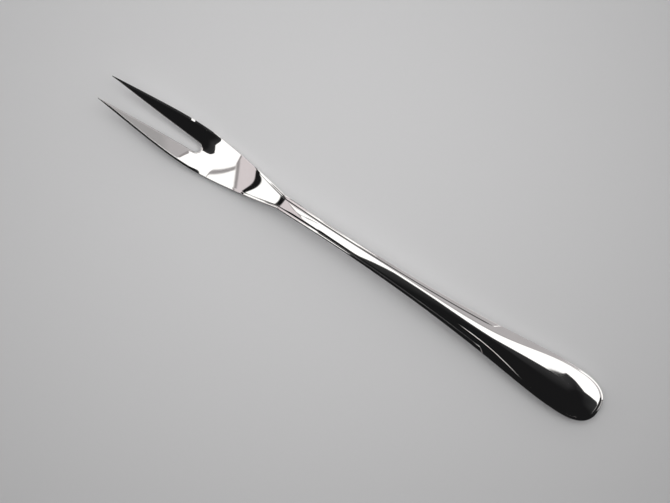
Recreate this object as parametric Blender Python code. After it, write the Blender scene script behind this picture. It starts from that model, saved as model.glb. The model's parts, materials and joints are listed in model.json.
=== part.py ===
"""Two-tined meat fork with a hollow handle, lying on its back as it is laid on a table.

Metres, +Z up, +X towards the tips of the tines. The origin is on the table, under the
middle of the fork. A station is a distance along the fork from the end of the handle.

The forged fork head carries a tang at its neck. Two pressed shells, front and back, meet
along the edge of the handle, and the cement core that fills them grips the tang.
"""

import math

import bmesh
import bpy
import numpy as np

# Lengths along the fork
HANDLE_LENGTH = 0.1315
HEAD_LENGTH = 0.0725
TINE_LENGTH = 0.0388
HANDLE_WIDEST_AT = 0.0136
SHOULDER_AT = 0.0440
SPUR_LENGTH = 0.0024
SPUR_WALL = 0.0006
SHANK_TO_NECK = 0.0225
THREAD_FADE_LENGTH = 0.0150
FACET_FADE_LENGTH = 0.0060

# Widths across the fork, outside to outside
HANDLE_WIDTH = 0.01676
HANDLE_FLARE_WIDTH = 0.01484
SHOULDER_WIDTH = 0.01164
STEM_WIDTH = 0.00682
SHANK_WIDTH = 0.00512
NECK_WIDTH = 0.00550
HEAD_FLARE_WIDTH = 0.01160
HEAD_WIDTH = 0.01520
TINE_MIDDLE_WIDTH = 0.01340
TIP_SPREAD = 0.00900
TIP_WIDTH = 0.00030
END_ROUNDNESS = 2.6

# Slot between the tines
SLOT_ROOT_WIDTH = 0.00362
SLOT_MIDDLE_WIDTH = 0.00576

# Clearance between the table and the middle of the underside
HANDLE_REST_LENGTH = 0.0100
HANDLE_REST_WIDTH = 0.0048
SHOULDER_CLEARANCE = 0.0013
STEM_CLEARANCE = 0.0030
SHANK_CLEARANCE = 0.0046
NECK_CLEARANCE = 0.00306
HEAD_BASE_CLEARANCE = 0.00112
HEAD_REST_TO_SLOT = 0.0075
HEAD_REST_LENGTH = 0.0080
HEAD_REST_WIDTH = 0.0050
TINE_MIDDLE_CLEARANCE = 0.0019
TIP_CLEARANCE = 0.0058

# Thickness in the middle of the fork's width
HANDLE_TIP_THICKNESS = 0.0038
HANDLE_END_THICKNESS = 0.0050
SHOULDER_THICKNESS = 0.0054
STEM_THICKNESS = 0.00515
SHANK_THICKNESS = 0.0040
NECK_THICKNESS = 0.0035
HEAD_BASE_THICKNESS = 0.00282
HEAD_THICKNESS = 0.0023
TINE_MIDDLE_THICKNESS = 0.0018
TIP_THICKNESS = 0.0009

# Relief on the front of the handle: a raised panel, a sloping facet and an edge thread
PANEL_END_WIDTH = 0.0150
PANEL_SHOULDER_WIDTH = 0.0058
PANEL_STEM_WIDTH = 0.0033
PANEL_SHANK_WIDTH = 0.0024
PANEL_END_DROP = 0.00050
PANEL_SHOULDER_DROP = 0.00010
PANEL_STEM_DROP = 0.000041
PANEL_SHANK_DROP = 0.000005
CREASE_RADIUS = 0.0008
FACET_SLOPE = 0.34
THREAD_WIDTH = 0.00105
THREAD_END_WIDTH = 0.00135
THREAD_HEIGHT = 0.00005
SHANK_BEAD_HEIGHT = 0.00003
BEAD_FOOT = 0.42
EDGE_ROUND_START = 0.72
GROOVE_WIDTH = 0.00032
GROOVE_DEPTH = 0.00004
RIM_WIDTH = 0.00070
RIM_SLOPE = 0.15
STEM_EDGE_SLOPE = 0.30
SHANK_EDGE_SLOPE = 0.07
HANDLE_EDGE_DROP = 0.00006
SPATULA_BACK_RISE = 0.0017
SHANK_BACK_RISE = 0.0013

# Form of the head: its hollows in metres of rise per metre squared, the tilt and the twist of
# its tines in degrees, and its edges
HEAD_DISH = 2.5
NECK_HOLLOW = 20.0
NECK_HOLLOW_RISE = 0.0065
NECK_HOLLOW_FALL = 0.0085
TINE_TILT = 10.8
TILT_START = 0.0078
TILT_END = 0.0060
TILT_LAG = 0.13
TINE_TWIST = 3.7
TWIST_START = 0.0010
TWIST_LENGTH = 0.0190
VALLEY_WIDTH = 0.0008
HEAD_EDGE_WIDTH = 0.00070
HEAD_EDGE_FADE = 0.0080
SLOT_EDGE_WIDTH = 0.00045
SLOT_EDGE_DROP = 0.00026
BACK_EDGE_WIDTH = 0.0014
BACK_EDGE_RISE = 0.0005

# Walls and fits inside the handle
WALL = 0.0006
CAVITY_ROOM = 0.0009
SEAM_GAP = 0.0003
FIT_GAP = 0.0003
TANG_ROOM = 0.0003
TANG_LENGTH = 0.0800
TANG_END_WIDTH = 0.0016
TANG_END_THICKNESS = 0.0011
CORE_LENGTH = 0.0860

# Fineness of the facets
SHANK_ROWS = 9
STEM_ROWS = 7
SPUR_ROWS = 9
SPATULA_ROWS = 6
REST_ROWS = 3
FAN_ROWS = 9
NECK_ROWS = 9
ROOT_ROWS = 4
SLOT_ROOT_ROWS = 5
TINE_ROWS = 12
TANG_ROWS = 8
PANEL_COLUMNS = 5
FACET_COLUMNS = 2
THREAD_COLUMNS = 4
EDGE_COLUMNS = 2
BACK_COLUMNS = 6

# Stations that follow from the lengths
LENGTH = HANDLE_LENGTH + HEAD_LENGTH
NECK_AT = HANDLE_LENGTH
SHANK_AT = NECK_AT - SHANK_TO_NECK
STEM_AT = (SHOULDER_AT + SHANK_AT) / 2
HANDLE_FLARE_AT = (HANDLE_WIDEST_AT + SHOULDER_AT) / 2
SLOT_ROOT_AT = LENGTH - TINE_LENGTH
SLOT_ROOT_RADIUS = SLOT_ROOT_WIDTH / 2
SLOT_START = SLOT_ROOT_AT + SLOT_ROOT_RADIUS
HEAD_FLARE_AT = (NECK_AT + SLOT_ROOT_AT) / 2
HEAD_REST_END = SLOT_ROOT_AT - HEAD_REST_TO_SLOT
HEAD_REST_START = HEAD_REST_END - HEAD_REST_LENGTH
TINE_MIDDLE_AT = (SLOT_ROOT_AT + LENGTH) / 2
TANG_END_AT = NECK_AT - TANG_LENGTH


def smooth_curve(knots, start_slope=None, end_slope=None):
    """Cubic spline through (station, value) knots; an end with no slope given runs out straight."""
    x, y = np.array(knots, float).T
    step, rise = np.diff(x), np.diff(y) / np.diff(x)
    matrix, right = np.zeros((len(x), len(x))), np.zeros(len(x))
    matrix[0, :2], right[0] = ((2, 1), 3 * rise[0]) if start_slope is None else ((1, 0), start_slope)
    matrix[-1, -2:], right[-1] = ((1, 2), 3 * rise[-1]) if end_slope is None else ((0, 1), end_slope)
    for i in range(1, len(x) - 1):
        matrix[i, i - 1 : i + 2] = step[i], 2 * (step[i - 1] + step[i]), step[i - 1]
        right[i] = 3 * (step[i] * rise[i - 1] + step[i - 1] * rise[i])
    slope = np.linalg.solve(matrix, right)

    def value(station):
        station = min(max(station, x[0]), x[-1])
        i = int(np.clip(np.searchsorted(x, station) - 1, 0, len(x) - 2))
        t = (station - x[i]) / step[i]
        chord = y[i] + t * (y[i + 1] - y[i])
        bow = (slope[i] - rise[i]) * (1 - t) - (slope[i + 1] - rise[i]) * t
        return float(chord + bow * step[i] * t * (1 - t))

    return value


def eased(t):
    """0 before t = 0, 1 after t = 1, and a smooth step between."""
    t = min(max(t, 0.0), 1.0)
    return t * t * (3 - 2 * t)


handle_outline = smooth_curve(
    [
        (HANDLE_WIDEST_AT, HANDLE_WIDTH / 2),
        (HANDLE_FLARE_AT, HANDLE_FLARE_WIDTH / 2),
        (SHOULDER_AT, SHOULDER_WIDTH / 2),
        (STEM_AT, STEM_WIDTH / 2),
        (SHANK_AT, SHANK_WIDTH / 2),
        (NECK_AT, NECK_WIDTH / 2),
    ],
    start_slope=0.0,
)
head_outline = smooth_curve(
    [
        (NECK_AT, NECK_WIDTH / 2),
        (HEAD_FLARE_AT, HEAD_FLARE_WIDTH / 2),
        (SLOT_ROOT_AT, HEAD_WIDTH / 2),
        (TINE_MIDDLE_AT, TINE_MIDDLE_WIDTH / 2),
        (LENGTH, (TIP_SPREAD + TIP_WIDTH) / 2),
    ]
)
slot_edge = smooth_curve(
    [
        (SLOT_START, SLOT_ROOT_RADIUS),
        (TINE_MIDDLE_AT, SLOT_MIDDLE_WIDTH / 2),
        (LENGTH, (TIP_SPREAD - TIP_WIDTH) / 2),
    ]
)
clearance = smooth_curve(
    [
        (0.0, 0.0),
        (HANDLE_WIDEST_AT - HANDLE_REST_LENGTH / 2, 0.0),
        (HANDLE_WIDEST_AT + HANDLE_REST_LENGTH / 2, 0.0),
        (SHOULDER_AT, SHOULDER_CLEARANCE),
        (STEM_AT, STEM_CLEARANCE),
        (SHANK_AT, SHANK_CLEARANCE),
        (NECK_AT, NECK_CLEARANCE),
        ((NECK_AT + HEAD_REST_START) / 2, HEAD_BASE_CLEARANCE),
        (HEAD_REST_START, 0.0),
        (HEAD_REST_END, 0.0),
        (TINE_MIDDLE_AT, TINE_MIDDLE_CLEARANCE),
        (LENGTH, TIP_CLEARANCE),
    ]
)
thickness = smooth_curve(
    [
        (0.0, HANDLE_TIP_THICKNESS),
        (HANDLE_WIDEST_AT, HANDLE_END_THICKNESS),
        (SHOULDER_AT, SHOULDER_THICKNESS),
        (STEM_AT, STEM_THICKNESS),
        (SHANK_AT, SHANK_THICKNESS),
        (NECK_AT, NECK_THICKNESS),
        (HEAD_REST_START, HEAD_BASE_THICKNESS),
        (HEAD_REST_END, HEAD_THICKNESS),
        (TINE_MIDDLE_AT, TINE_MIDDLE_THICKNESS),
        (LENGTH, TIP_THICKNESS),
    ]
)
panel_half_width = smooth_curve(
    [
        (HANDLE_WIDEST_AT, PANEL_END_WIDTH / 2),
        (SHOULDER_AT, PANEL_SHOULDER_WIDTH / 2),
        (STEM_AT, PANEL_STEM_WIDTH / 2),
        (SHANK_AT, PANEL_SHANK_WIDTH / 2),
        (NECK_AT, PANEL_SHANK_WIDTH / 2),
    ],
    start_slope=0.0,
    end_slope=0.0,
)
panel_drop = smooth_curve(
    [
        (HANDLE_WIDEST_AT, PANEL_END_DROP),
        (SHOULDER_AT, PANEL_SHOULDER_DROP),
        (STEM_AT, PANEL_STEM_DROP),
        (SHANK_AT, PANEL_SHANK_DROP),
        (NECK_AT, PANEL_SHANK_DROP),
    ],
    start_slope=0.0,
    end_slope=0.0,
)
thread_band = smooth_curve(
    [(SHOULDER_AT, THREAD_END_WIDTH), (STEM_AT, THREAD_WIDTH), (NECK_AT, THREAD_WIDTH)],
    start_slope=0.0,
    end_slope=0.0,
)
bead_height = smooth_curve(
    [
        (SHOULDER_AT, 0.0),
        (STEM_AT, 0.0),
        (SHANK_AT, SHANK_BEAD_HEIGHT),
        (NECK_AT, SHANK_BEAD_HEIGHT),
    ],
    start_slope=0.0,
    end_slope=0.0,
)
edge_slope = smooth_curve(
    [
        (HANDLE_WIDEST_AT, RIM_SLOPE),
        (SHOULDER_AT, FACET_SLOPE),
        (STEM_AT, STEM_EDGE_SLOPE),
        (SHANK_AT, SHANK_EDGE_SLOPE),
        (NECK_AT, SHANK_EDGE_SLOPE),
    ],
    start_slope=0.0,
    end_slope=0.0,
)
edge_rise = smooth_curve(
    [(SHOULDER_AT, SPATULA_BACK_RISE), (STEM_AT, SHANK_BACK_RISE), (NECK_AT, SHANK_BACK_RISE)],
    start_slope=0.0,
    end_slope=0.0,
)


def half_width(station):
    """Half the width of the fork; its outline has a corner where the head meets the handle."""
    return handle_outline(station) if station < NECK_AT else head_outline(station)


def underside(station):
    """Height of the middle of the underside; it is worn flat where the fork rests."""
    return max(clearance(station), 0.0)


def front_line(station):
    """Height of the front along the middle plane."""
    return clearance(station) + thickness(station)


def headness(station):
    """0 on the handle and 1 on the dished head, easing across the neck."""
    return eased((station - NECK_AT) / (HEAD_REST_START - NECK_AT))


def thread_share(station, inset):
    """How much of the edge thread stands: it ends in a slanting spur and fades on the head."""
    starts = eased((station - SHOULDER_AT - SPUR_LENGTH * inset) / SPUR_WALL)
    return starts * (1 - eased((station - NECK_AT) / THREAD_FADE_LENGTH))


def edge_band(station, width):
    """Width of the band along the edge that carries the thread, the rim or the bevelled edge."""
    spur = eased((station - SHOULDER_AT) / SPUR_LENGTH)
    on_handle = RIM_WIDTH + (thread_band(station) - RIM_WIDTH) * spur
    band = on_handle + (HEAD_EDGE_WIDTH - on_handle) * headness(station)
    return min(band, width / 2)


def edge_share(station):
    """How much of the bevelled edge of the tines there is: none on the neck, all from the slot on."""
    return eased(1 + (station - SLOT_ROOT_AT) / HEAD_EDGE_FADE)


def panel_edge(station, reach):
    """Distance from the middle to the panel's edge, on a line that reaches the outline at reach."""
    share = panel_half_width(station) / half_width(station)
    widest = 0.97 * (reach - edge_band(station, reach))
    panel = min(share * reach, widest)
    return panel + (widest - panel) * eased(1 + (station - NECK_AT) / FACET_FADE_LENGTH)


def relief_drop(station, offset, reach):
    """Depth of the handle's front face below its middle line, without the edge thread."""
    panel = panel_edge(station, reach)
    groove = reach - edge_band(station, reach)
    past = min(offset, groove) - panel
    soft = min(CREASE_RADIUS, 0.4 * max(reach - THREAD_WIDTH - panel, 1e-5))
    facet = FACET_SLOPE * (past + math.hypot(past, soft)) / 2
    edge = edge_slope(station) * max(offset - groove, 0.0)
    return panel_drop(station) * (offset / panel) ** 2 + facet + edge


def thread_rise(station, offset, reach, band):
    """Height of the edge thread over its band, less its groove and the fall of the edge itself."""
    past = offset - (reach - band)
    share = min(max(past / band, 0.0), 1.0)
    bead = bead_height(station) * eased((share - BEAD_FOOT) / (EDGE_ROUND_START - BEAD_FOOT))
    thread = THREAD_HEIGHT * eased(3 * past / GROOVE_WIDTH) + bead
    groove = GROOVE_DEPTH * max(1 - 2 * abs(past) / GROOVE_WIDTH, 0.0)
    rounded = max((share - EDGE_ROUND_START) / (1 - EDGE_ROUND_START), 0.0) ** 2
    bevel = edge_share(station)
    level = (tine_slope(station, offset) + HEAD_DISH * offset) * band * share
    fall = HANDLE_EDGE_DROP * (1 - bevel) * rounded + level * bevel
    return thread * thread_share(station, 1 - share) - groove * thread_share(station, 1.0) - fall


def tine_slope(station, offset):
    """Slope of the tines towards each other; it sets in round the slot's root and grows a little after."""
    past = station - SLOT_ROOT_AT
    tilt = eased((past - TILT_LAG * offset + TILT_START) / (TILT_START + TILT_END))
    twist = eased((past - TWIST_START) / TWIST_LENGTH)
    return math.tan(math.radians(TINE_TILT * tilt + TINE_TWIST * twist))


def dish_rise(station, offset):
    """Rise of the hollowed head away from its middle line; the tines tilt towards each other."""
    valley = math.hypot(offset, VALLEY_WIDTH) - VALLEY_WIDTH
    return tine_slope(station, offset) * valley + HEAD_DISH * offset**2 / 2


def neck_rise(station, offset):
    """Rise of the slight hollow across the neck."""
    past = station - NECK_AT
    window = eased(past / NECK_HOLLOW_RISE) * (1 - eased((past - NECK_HOLLOW_RISE) / NECK_HOLLOW_FALL))
    return window * NECK_HOLLOW * offset**2 / 2


def back_flat(reach):
    """Half width of the flat along the middle of the handle's back."""
    return HANDLE_REST_WIDTH / 2 * reach / (HANDLE_WIDTH / 2)


def back_rise(station, offset, reach):
    """Height of the handle's back above the middle line of the underside."""
    flat = back_flat(reach)
    return edge_rise(station) * (max(offset - flat, 0.0) / (reach - flat)) ** 2


def seam_height(station, foot, reach):
    """Height of the seam between the shells, half way up the edge of the handle."""
    relief = thread_rise(foot, reach, reach, edge_band(foot, reach)) - relief_drop(foot, reach, reach)
    edge_top = front_line(station) + relief
    return (edge_top + underside(station) + edge_rise(foot)) / 2


def slot_distance(station, across):
    """Distance of a point of the head from the edge of the slot."""
    if station < SLOT_START:
        return math.hypot(station - SLOT_START, across) - SLOT_ROOT_RADIUS
    return across - slot_edge(station)


def slot_round(station, across, width):
    """1 on the edge of the slot, falling smoothly to 0 at a distance from it."""
    return min(max(1 - slot_distance(station, across) / width, 0.0), 1.0) ** 2


def head_front(station, across, reach, slot):
    """Height of the head's front, with its outer edge and its slot's edge rounded."""
    share = headness(station)
    relief = share * dish_rise(station, across) - (1 - share) * relief_drop(station, across, reach)
    relief += neck_rise(station, across)
    relief += thread_rise(station, across, reach, edge_band(station, reach - slot))
    inner = min(SLOT_EDGE_WIDTH, (reach - slot) / 3)
    fall = min(SLOT_EDGE_DROP, thickness(station) / 4)
    return front_line(station) + relief - fall * slot_round(station, across, inner)


def head_back(station, across, reach, slot):
    """Height of the head's back: flat where it rests, then along the dish with rounded edges."""
    share = headness(station)
    leaving = eased((station - HEAD_REST_END) / HEAD_REST_TO_SLOT)
    rest = HEAD_REST_WIDTH / 2 * (1 - leaving)
    dish = dish_rise(station, max(across, rest)) - dish_rise(station, rest)
    width = min(BACK_EDGE_WIDTH, (reach - slot) / 2)
    rounded = min(max(1 - (reach - across) / width, 0.0), 1.0) ** 2 + slot_round(station, across, width)
    rise = min(BACK_EDGE_RISE, 0.3 * thickness(station))
    handle = (1 - share) * back_rise(station, across, reach)
    return underside(station) + handle + share * (dish + rise * rounded)


def handle_strips():
    """(foot on the middle line, point on the outline) pairs from the neck round to the handle's end."""
    spur_end = SHOULDER_AT + SPUR_LENGTH + SPUR_WALL
    rest_end = HANDLE_WIDEST_AT + HANDLE_REST_LENGTH / 2
    runs = [
        (NECK_AT - SEAM_GAP, STEM_AT, SHANK_ROWS),
        (STEM_AT, spur_end, STEM_ROWS),
        (spur_end, SHOULDER_AT, SPUR_ROWS),
        (SHOULDER_AT, rest_end, SPATULA_ROWS),
        (rest_end, HANDLE_WIDEST_AT, REST_ROWS),
    ]
    stations = [s for run in runs for s in np.linspace(*run, endpoint=False)]
    strips = [(s, (s, half_width(s))) for s in stations]
    for turn in np.linspace(0, math.pi / 2, FAN_ROWS):
        along = max(math.sin(turn), 0.0) ** (2 / END_ROUNDNESS)
        across = max(math.cos(turn), 0.0) ** (2 / END_ROUNDNESS)
        outline_point = (HANDLE_WIDEST_AT * (1 - along), HANDLE_WIDTH / 2 * across)
        strips.append((HANDLE_WIDEST_AT, outline_point))
    strips[-1] = (HANDLE_WIDEST_AT, (0.0, 0.0))
    return strips


def at_offset(strip, offset):
    """(station, distance from the middle plane) of the point at that offset along a strip."""
    foot, (end_station, end_across) = strip
    reach = math.hypot(end_station - foot, end_across)
    return foot + (end_station - foot) * offset / reach, end_across * offset / reach


def reach_of(strip):
    """Length of a strip, from the middle line to the outline."""
    foot, (end_station, end_across) = strip
    return math.hypot(end_station - foot, end_across)


def point(station, across, height):
    """A point of the part from its station, its distance off the middle plane and its height."""
    return station - LENGTH / 2, across, height


def front_columns(station, reach):
    """Offsets of the points across the front face: panel, facet, groove and edge band."""
    panel = panel_edge(station, reach)
    band = edge_band(station, reach)
    groove = reach - band
    brink = max(groove - GROOVE_WIDTH / 2, (panel + groove) / 2)
    return np.concatenate(
        [
            np.linspace(0, panel, PANEL_COLUMNS, endpoint=False),
            np.linspace(panel, brink, FACET_COLUMNS, endpoint=False),
            [brink, groove, groove + GROOVE_WIDTH / 2, groove + BEAD_FOOT * band],
            np.linspace(groove + EDGE_ROUND_START * band, reach, EDGE_COLUMNS + 1),
        ]
    )


def front_face_row(strip):
    """Points across the outside of the front shell, from the middle line to the seam."""
    foot, reach = strip[0], reach_of(strip)
    band = edge_band(foot, reach)
    row = []
    for offset in front_columns(foot, reach):
        station, across = at_offset(strip, offset)
        relief = thread_rise(foot, offset, reach, band) - relief_drop(foot, offset, reach)
        row.append(point(station, across, front_line(station) + relief))
    station, across = at_offset(strip, reach)
    return row + [point(station, across, seam_height(station, foot, reach) + SEAM_GAP / 2)]


def back_face_row(strip):
    """Points across the outside of the back shell, from the middle line to the seam."""
    foot, reach = strip[0], reach_of(strip)
    row = []
    for offset in np.concatenate([[0.0], np.linspace(back_flat(reach), reach, BACK_COLUMNS)]):
        station, across = at_offset(strip, offset)
        row.append(point(station, across, underside(station) + back_rise(foot, offset, reach)))
    station, across = at_offset(strip, reach)
    return row + [point(station, across, seam_height(station, foot, reach) - SEAM_GAP / 2)]


def cavity(foot, station, offset, reach, gap):
    """Heights of the cavity's floor and roof at an offset along a strip, a gap clear of the walls."""
    near = min(offset + WALL, reach)
    floor = underside(station) + back_rise(foot, near, reach) + WALL + gap
    return floor, front_line(station) - relief_drop(foot, near, reach) - WALL - gap


def cavity_end(strip):
    """Offset along a strip where the cavity ends: at the wall of the edge, or where it gets too low."""
    foot, reach = strip[0], reach_of(strip)
    offsets = np.linspace(reach - WALL, 0, 60)
    rooms = []
    for offset in offsets:
        floor, roof = cavity(foot, at_offset(strip, offset)[0], offset, reach, 0.0)
        rooms.append(roof - floor)
    return float(np.interp(CAVITY_ROOM, rooms, offsets))


def cavity_row(strip, columns, gap, side, last=None):
    """Points across the floor (side 0) or roof (side 1) of the cavity, ending at last off the seam."""
    foot, reach = strip[0], reach_of(strip)
    end = cavity_end(strip) - gap
    row = []
    for offset in np.linspace(0, end, columns):
        station, across = at_offset(strip, offset)
        row.append(point(station, across, cavity(foot, station, offset, reach, gap)[side]))
    if last is None:
        return row
    station, across = at_offset(strip, end)
    return row + [point(station, across, seam_height(station, foot, reach) + last)]


def tang_middle(station, across):
    """Height of the middle of the tang, where the cavity leaves most room."""
    return sum(cavity(station, station, 0.6 * across, half_width(station), 0.0)) / 2


def tang_root():
    """Half width and half thickness of the widest oval that passes the shank with the fit's gap."""
    across = SHANK_WIDTH / 2 - WALL - FIT_GAP - TANG_ROOM
    up = SHANK_THICKNESS
    for station in np.linspace(SHANK_AT, NECK_AT, 5):
        middle = tang_middle(station, across)
        for turn in np.linspace(0.2, math.pi / 2, 12):
            offset = across * math.cos(turn)
            floor, roof = cavity(station, station, offset, half_width(station), FIT_GAP)
            up = min(up, (roof - middle) / math.sin(turn), (middle - floor) / math.sin(turn))
    return across, up


def tang_row(station, gap, count):
    """Half an oval round the tang at a station, from its top to its bottom, a gap outside it."""
    along = (station - TANG_END_AT) / TANG_LENGTH
    root_across, root_up = tang_root()
    across = TANG_END_WIDTH / 2 + (root_across - TANG_END_WIDTH / 2) * along
    up = TANG_END_THICKNESS / 2 + (root_up - TANG_END_THICKNESS / 2) * along
    middle = tang_middle(station, across)
    row = []
    for turn in np.linspace(math.pi / 2, -math.pi / 2, count):
        level = middle + (up + gap) * math.sin(turn)
        row.append(point(station, (across + gap) * max(math.cos(turn), 0.0), level))
    return row


def head_row(station, slot):
    """Half a section of the head from the slot's top edge, over the outer edge, to its bottom edge."""
    reach = half_width(station)
    width = reach - slot
    band = edge_band(station, width)
    inner = min(SLOT_EDGE_WIDTH, width / 4)
    above = slot + np.concatenate(
        [
            [0.0],
            np.linspace(inner, width - band, PANEL_COLUMNS, endpoint=False),
            np.linspace(width - band, width, THREAD_COLUMNS + 1),
        ]
    )
    flat = slot + HEAD_REST_WIDTH / 2 * (1 - slot / reach)
    below = np.concatenate([np.linspace(reach, flat, BACK_COLUMNS), [(flat + slot) / 2, slot]])
    row = [point(station, across, head_front(station, across, reach, slot)) for across in above]
    return row + [point(station, across, head_back(station, across, reach, slot)) for across in below]


def lay_grid(mesh, rows):
    """Bend a grid primitive over rows of points, and return its vertices row by row."""
    columns = len(rows[0])
    made = bmesh.ops.create_grid(mesh, x_segments=columns - 1, y_segments=len(rows) - 1, size=1.0)
    vertices = sorted(made["verts"], key=lambda v: (round(v.co.y, 6), round(v.co.x, 6)))
    for vertex, place in zip(vertices, (p for row in rows for p in row)):
        vertex.co = place
    return [vertices[i : i + columns] for i in range(0, len(vertices), columns)]


def join_edges(mesh, one, other):
    """A strip of quads between two lines of vertices."""
    for a, b, c, d in zip(one, one[1:], other[1:], other):
        mesh.faces.new((a, b, c, d))


def mirrored_object(name, mesh, finish):
    """Weld the half that was modelled, mirror it across the middle plane and close it."""
    weld = 1e-7
    bmesh.ops.remove_doubles(mesh, verts=mesh.verts, dist=weld)
    bmesh.ops.dissolve_degenerate(mesh, edges=mesh.edges, dist=weld)
    middle = [v for v in mesh.verts if abs(v.co.y) < weld]
    for vertex in middle:
        vertex.co.y = 0.0
    in_plane = [f for f in mesh.faces if all(abs(v.co.y) < weld for v in f.verts)]
    bmesh.ops.delete(mesh, geom=in_plane, context="FACES_ONLY")
    bmesh.ops.mirror(mesh, geom=mesh.verts[:] + mesh.edges[:] + mesh.faces[:], axis="Y", merge_dist=weld)
    bmesh.ops.recalc_face_normals(mesh, faces=mesh.faces)
    data = bpy.data.meshes.new(name)
    mesh.to_mesh(data)
    mesh.free()
    data.shade_smooth()
    data.set_sharp_from_angle(angle=math.radians(40))
    data.materials.append(finish)
    made = bpy.data.objects.new(name, data)
    bpy.context.collection.objects.link(made)
    return made


def finish_named(name, colour, roughness, metallic):
    """A Principled BSDF material."""
    finish = bpy.data.materials.new(name)
    finish.use_nodes = True
    shader = finish.node_tree.nodes["Principled BSDF"]
    shader.inputs["Base Color"].default_value = (*colour, 1.0)
    shader.inputs["Roughness"].default_value = roughness
    shader.inputs["Metallic"].default_value = metallic
    return finish


def handle_shell(name, finish, outside, inside):
    """One pressed half of the handle: its outside and its cavity, joined along the seam and the neck."""
    mesh = bmesh.new()
    outer, inner = lay_grid(mesh, outside), lay_grid(mesh, inside)
    join_edges(mesh, [row[-1] for row in outer], [row[-1] for row in inner])
    join_edges(mesh, outer[0], inner[0])
    return mirrored_object(name, mesh, finish)


def front_shell(finish):
    """The front half of the handle, with the panel, the facets and the edge thread."""
    strips = handle_strips()
    outside = [front_face_row(strip) for strip in strips]
    inside = [cavity_row(strip, len(outside[0]) - 1, 0.0, 1, SEAM_GAP / 2) for strip in strips]
    return handle_shell("handle_front_shell", finish, outside, inside)


def back_shell(finish):
    """The plain back half of the handle, with the flat that it rests on."""
    strips = handle_strips()
    outside = [back_face_row(strip) for strip in strips]
    inside = [cavity_row(strip, len(outside[0]) - 1, 0.0, 0, -SEAM_GAP / 2) for strip in strips]
    return handle_shell("handle_back_shell", finish, outside, inside)


def cement_core(finish):
    """The cement that fills the shells behind the shank, with the socket that the tang left in it."""
    strips = [strip for strip in handle_strips() if strip[0] < CORE_LENGTH]
    columns = BACK_COLUMNS + 1
    mesh = bmesh.new()
    roof = lay_grid(mesh, [cavity_row(strip, columns, FIT_GAP, 1) for strip in strips])
    floor = lay_grid(mesh, [cavity_row(strip, columns, FIT_GAP, 0) for strip in strips])
    join_edges(mesh, [row[-1] for row in roof], [row[-1] for row in floor])
    stations = np.linspace(strips[0][0], TANG_END_AT - FIT_GAP, TANG_ROWS)
    socket = lay_grid(mesh, [tang_row(station, FIT_GAP, 2 * columns) for station in stations])
    join_edges(mesh, roof[0] + floor[0][::-1], socket[0])
    mesh.faces.new(socket[-1])
    return mirrored_object("handle_cement_core", mesh, finish)


def fork_head(finish):
    """The forged head: two tines, the dished root and the neck, with the tang behind it."""
    runs = [
        (NECK_AT, HEAD_REST_START, NECK_ROWS),
        (HEAD_REST_START, HEAD_REST_END, REST_ROWS),
        (HEAD_REST_END, SLOT_ROOT_AT, ROOT_ROWS),
    ]
    sections = [(s, 0.0) for run in runs for s in np.linspace(*run, endpoint=False)]
    solid_rows = len(sections)
    for turn in np.linspace(0, math.pi / 2, SLOT_ROOT_ROWS):
        back, across = SLOT_ROOT_RADIUS * math.cos(turn), SLOT_ROOT_RADIUS * math.sin(turn)
        sections.append((SLOT_START - back, across))
    sections += [(s, slot_edge(s)) for s in np.linspace(SLOT_START, LENGTH, TINE_ROWS + 1)[1:]]
    mesh = bmesh.new()
    body = lay_grid(mesh, [head_row(station, slot) for station, slot in sections])
    slot_wall = body[solid_rows:]
    join_edges(mesh, [row[0] for row in slot_wall], [row[-1] for row in slot_wall])
    mesh.faces.new(body[-1])
    stations = np.linspace(NECK_AT, TANG_END_AT, TANG_ROWS)
    tang = lay_grid(mesh, [tang_row(station, 0.0, len(body[0])) for station in stations])
    join_edges(mesh, body[0], tang[0])
    mesh.faces.new(tang[-1])
    return mirrored_object("fork_head", mesh, finish)


def main():
    for old in list(bpy.data.objects):
        bpy.data.objects.remove(old)
    polished = finish_named("polished_metal", (0.80, 0.79, 0.78), 0.06, 1.0)
    cement = finish_named("handle_cement", (0.42, 0.36, 0.30), 0.9, 0.0)
    fork_head(polished)
    front_shell(polished)
    back_shell(polished)
    cement_core(cement)


main()
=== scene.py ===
"""Dressed scene of a two-tined meat fork with a hollow handle, laid on its back on a pale table.

Metres, +Z up, +X towards the tips of the tines. A station is a distance along the fork from the
end of the handle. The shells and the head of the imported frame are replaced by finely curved
pieces of the same form, and the cement core inside the handle keeps its solid and is dressed.
"""

import json
import logging
import math
from dataclasses import dataclass
from enum import Enum
from typing import Dict, List, Optional, Sequence, Tuple

import bpy
import numpy as np
from mathutils import Matrix, Vector

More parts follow.
